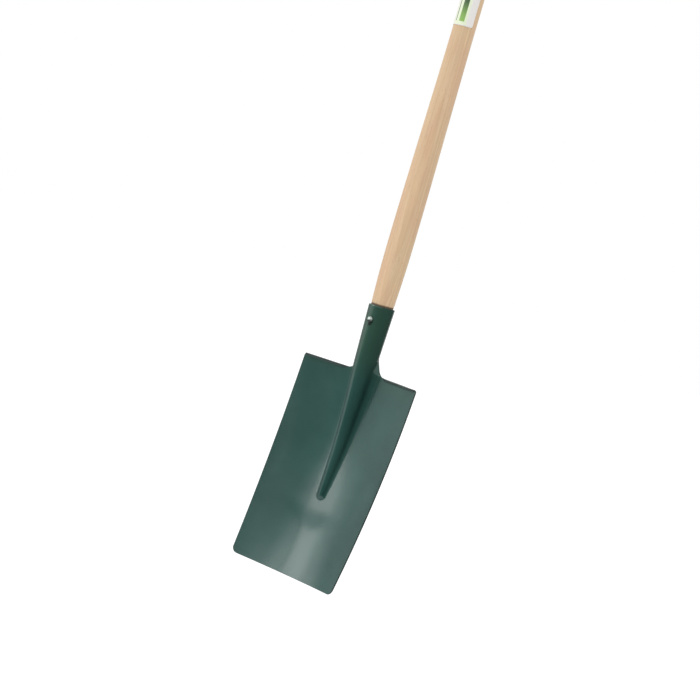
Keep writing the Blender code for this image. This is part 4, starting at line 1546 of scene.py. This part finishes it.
@dataclass
class PhotoCamera:
    """The camera at the photograph's viewing angle, turned about its own line of sight."""

    azimuth: float = 38.475
    elevation: float = 3.085
    roll: float = 16.414
    distance: float = 2.460
    focal_share: float = 1828.9 / 700
    aim_right: float = -0.02492
    aim_above_tread: float = 0.0228
    sensor: float = 36.0

    def build(self) -> None:
        """Aim at a point beside the shaft, from the distance, and roll the frame."""
        a, r = math.radians(self.azimuth), math.radians(self.roll)
        back = toward(self.azimuth, self.elevation)
        level = Vector((math.cos(a), math.sin(a), 0.0))
        rise = back.cross(level)
        right = level * math.cos(r) + rise * math.sin(r)
        up = rise * math.cos(r) - level * math.sin(r)
        aim = level * self.aim_right + Vector((0.0, 0.0, TREAD_Z + self.aim_above_tread))
        data = bpy.data.cameras.new("camera")
        data.sensor_width = self.sensor
        data.lens = self.focal_share * self.sensor
        data.clip_start, data.clip_end = 0.05, 100.0
        camera = linked("camera", data)
        turn = Matrix((right, up, back)).transposed().to_4x4()
        camera.matrix_world = Matrix.Translation(aim + back * self.distance) @ turn
        bpy.context.scene.camera = camera


@dataclass
class Lamp:
    """One soft rectangular lamp that looks at the blade."""

    name: str
    azimuth: float
    elevation: float
    distance: float
    width: float
    height: float
    radiance: float

    def build(self, aim: Vector) -> None:
        """Power is the radiance times the lamp's area times pi.

        Args:
            aim: The point that it looks at.
        """
        back = toward(self.azimuth, self.elevation)
        data = bpy.data.lights.new(self.name, "AREA")
        data.shape = "RECTANGLE"
        data.size, data.size_y = self.width, self.height
        data.energy = self.radiance * math.pi * self.width * self.height
        lamp = linked(self.name, data)
        turn = back.to_track_quat("Z", "Y").to_matrix().to_4x4()
        lamp.matrix_world = Matrix.Translation(aim + back * self.distance) @ turn


@dataclass
class Card:
    """A card of one grey, bent round a side of the room, that only reflections show."""

    name: str
    low_start: float
    high_start: float
    end: float
    high: float
    tone: float
    low: float = -1.41
    radius: float = 1.7

    def build(self) -> None:
        """A piece of a cylinder about the Z axis, whose first edge slants with the height."""
        share = np.linspace(0.0, 1.0, 9)[:, None]
        start = mix(self.low_start, self.high_start, share**2)
        azimuth = np.radians(mix(start, self.end, np.linspace(0.0, 1.0, 60)))
        height = mix(self.low, self.high, share)
        grid = stacked(self.radius * np.sin(azimuth), -self.radius * np.cos(azimuth), height)
        card = Surface(grid.reshape(-1, 3), quads(numbered(grid))).to_object(self.name)
        canvas = Canvas(self.name)
        canvas.set(Base_Color=(self.tone,) * 3, Roughness=1.0, Specular_IOR_Level=0.0)
        card.data.materials.append(canvas.material)
        card.visible_camera = False
        card.visible_diffuse = False
        card.visible_shadow = False


@dataclass
class Studio:
    """White surroundings, a pale floor that keeps the shadow, cards, and soft lamps."""

    floor_z: float = -1.42
    floor_size: float = 60.0
    floor_around: int = 96
    floor_glow: float = 0.30
    fill: float = 0.97
    aim_depth: float = 0.10
    cards: tuple[Card, ...] = (
        Card("low_card", -46.0, -46.0, 178.0, -0.85, 0.01),
        Card("front_card", -31.0, -27.0, -8.0, -0.62, 0.01, low=-0.85),
        Card("pale_card", -26.0, -26.0, -8.0, -0.72, 0.60, low=-0.82, radius=1.66),
        Card("camera_side_card", -8.0, -8.0, 50.0, -0.61, 0.50, low=-0.76),
        Card("camera_side_low_card", -8.0, -8.0, 50.0, -0.76, 0.02, low=-0.85),
        Card("right_card", 50.0, 50.0, 178.0, -0.48, 0.03, low=-0.85),
        Card("left_card", -170.0, -170.0, -76.0, -0.70, 0.50),
    )
    lamps: tuple[Lamp, ...] = (
        Lamp("key", -41.5, 8.8, 2.25, 0.52, 0.24, 5.7),
        Lamp("left_box", -54.5, 8.8, 2.25, 0.50, 0.28, 3.1),
        Lamp("right_box", -29.0, 11.8, 2.25, 0.38, 0.22, 3.6),
        Lamp("far_box", -13.0, 13.2, 2.25, 0.90, 0.28, 1.6),
        Lamp("upper_box", -38.0, 20.0, 2.3, 1.8, 0.50, 0.9),
        Lamp("top", 70.0, 62.0, 2.4, 1.2, 1.2, 0.2),
    )

    def background_share(self, nodes: bpy.types.Nodes, links: bpy.types.NodeLinks) -> Socket:
        """1 for rays from the camera, reflections and glass, and 0 for those that light.

        Args:
            nodes: The material's or the world's nodes.
            links: Its links.

        Returns:
            The value.
        """
        path = nodes.new("ShaderNodeLightPath")
        total = path.outputs["Is Camera Ray"]
        for name in ("Is Glossy Ray", "Is Transmission Ray"):
            either = nodes.new("ShaderNodeMath")
            either.operation = "MAXIMUM"
            links.new(total, either.inputs[0])
            links.new(path.outputs[name], either.inputs[1])
            total = either.outputs[0]
        return total

    def build_world(self) -> None:
        """White to the camera and in reflections, and one plain level where it lights."""
        world = bpy.data.worlds.new("surroundings")
        world.use_nodes = True
        nodes, links = world.node_tree.nodes, world.node_tree.links
        seen = nodes.new("ShaderNodeMix")
        links.new(self.background_share(nodes, links), seen.inputs["Factor"])
        seen.inputs["A"].default_value = self.fill
        seen.inputs["B"].default_value = 1.0
        links.new(seen.outputs["Result"], nodes["Background"].inputs["Strength"])
        nodes["Background"].inputs["Color"].default_value = (1.0, 1.0, 1.0, 1.0)
        bpy.context.scene.world = world

    def build_floor(self) -> None:
        """A level disc that is white to the camera but for the shadow on it."""
        angle = 2 * np.pi * np.arange(self.floor_around) / self.floor_around
        rings = np.array([0.3, 1.0, 3.0, 10.0, self.floor_size / 2])[:, None]
        grid = stacked(rings * np.cos(angle), rings * np.sin(angle), self.floor_z)
        index = numbered(grid)
        index = np.hstack([index, index[:, :1]])
        points = np.vstack([grid.reshape(-1, 3), [[0.0, 0.0, self.floor_z]]])
        hub = stacked(len(points) - 1, index[0, :-1], index[0, 1:])
        floor = Surface(points, quads(index), hub).to_object("floor")
        canvas = Canvas("floor_white")
        share = self.background_share(canvas.nodes, canvas.links)
        glow = canvas.times(share, self.floor_glow)
        canvas.set(Base_Color=(0.86, 0.86, 0.86), Roughness=0.9, Specular_IOR_Level=0.1)
        canvas.set(Emission_Color=(1.0, 1.0, 1.0), Emission_Strength=glow)
        floor.data.materials.append(canvas.material)

    def build(self) -> None:
        """World, floor, cards and lamps."""
        bpy.context.scene.view_settings.view_transform = "Standard"
        self.build_world()
        self.build_floor()
        for card in self.cards:
            card.build()
        for lamp in self.lamps:
            lamp.build(Vector((0.0, 0.0, TREAD_Z - self.aim_depth)))


def main() -> None:
    """Build the camera, the lights, and then the spade from blade to grip."""
    logging.basicConfig(level=logging.INFO, format="%(name)s: %(message)s")
    PhotoCamera().build()
    Studio().build()
    paint = GreenPaint().make()
    wood = Wood().make()
    steel = Steel().make()
    blade, shaft, bar = Blade(), Shaft(), Crossbar()
    blade.build(paint)
    shaft.build(blade, bar, wood)
    bar.build(
        Wood("grip_ash", Grain.ALONG_GRIP, pith=(-0.052, 0.071), stain_and_shade_z=-1.0).make(),
        Wood(
            "wedge_hardwood",
            early=linear(150, 108, 72),
            late=linear(122, 82, 52),
            blush=linear(140, 92, 62),
            fleck=linear(84, 52, 34),
        ).make(),
        Steel("pin_steel", shade_below_z=-1.0, roughness=0.36).make(),
    )
    Nail().build(blade, steel)
    Label().build(shaft, PrintedPaper().make())


if __name__ == "__main__":
    main()
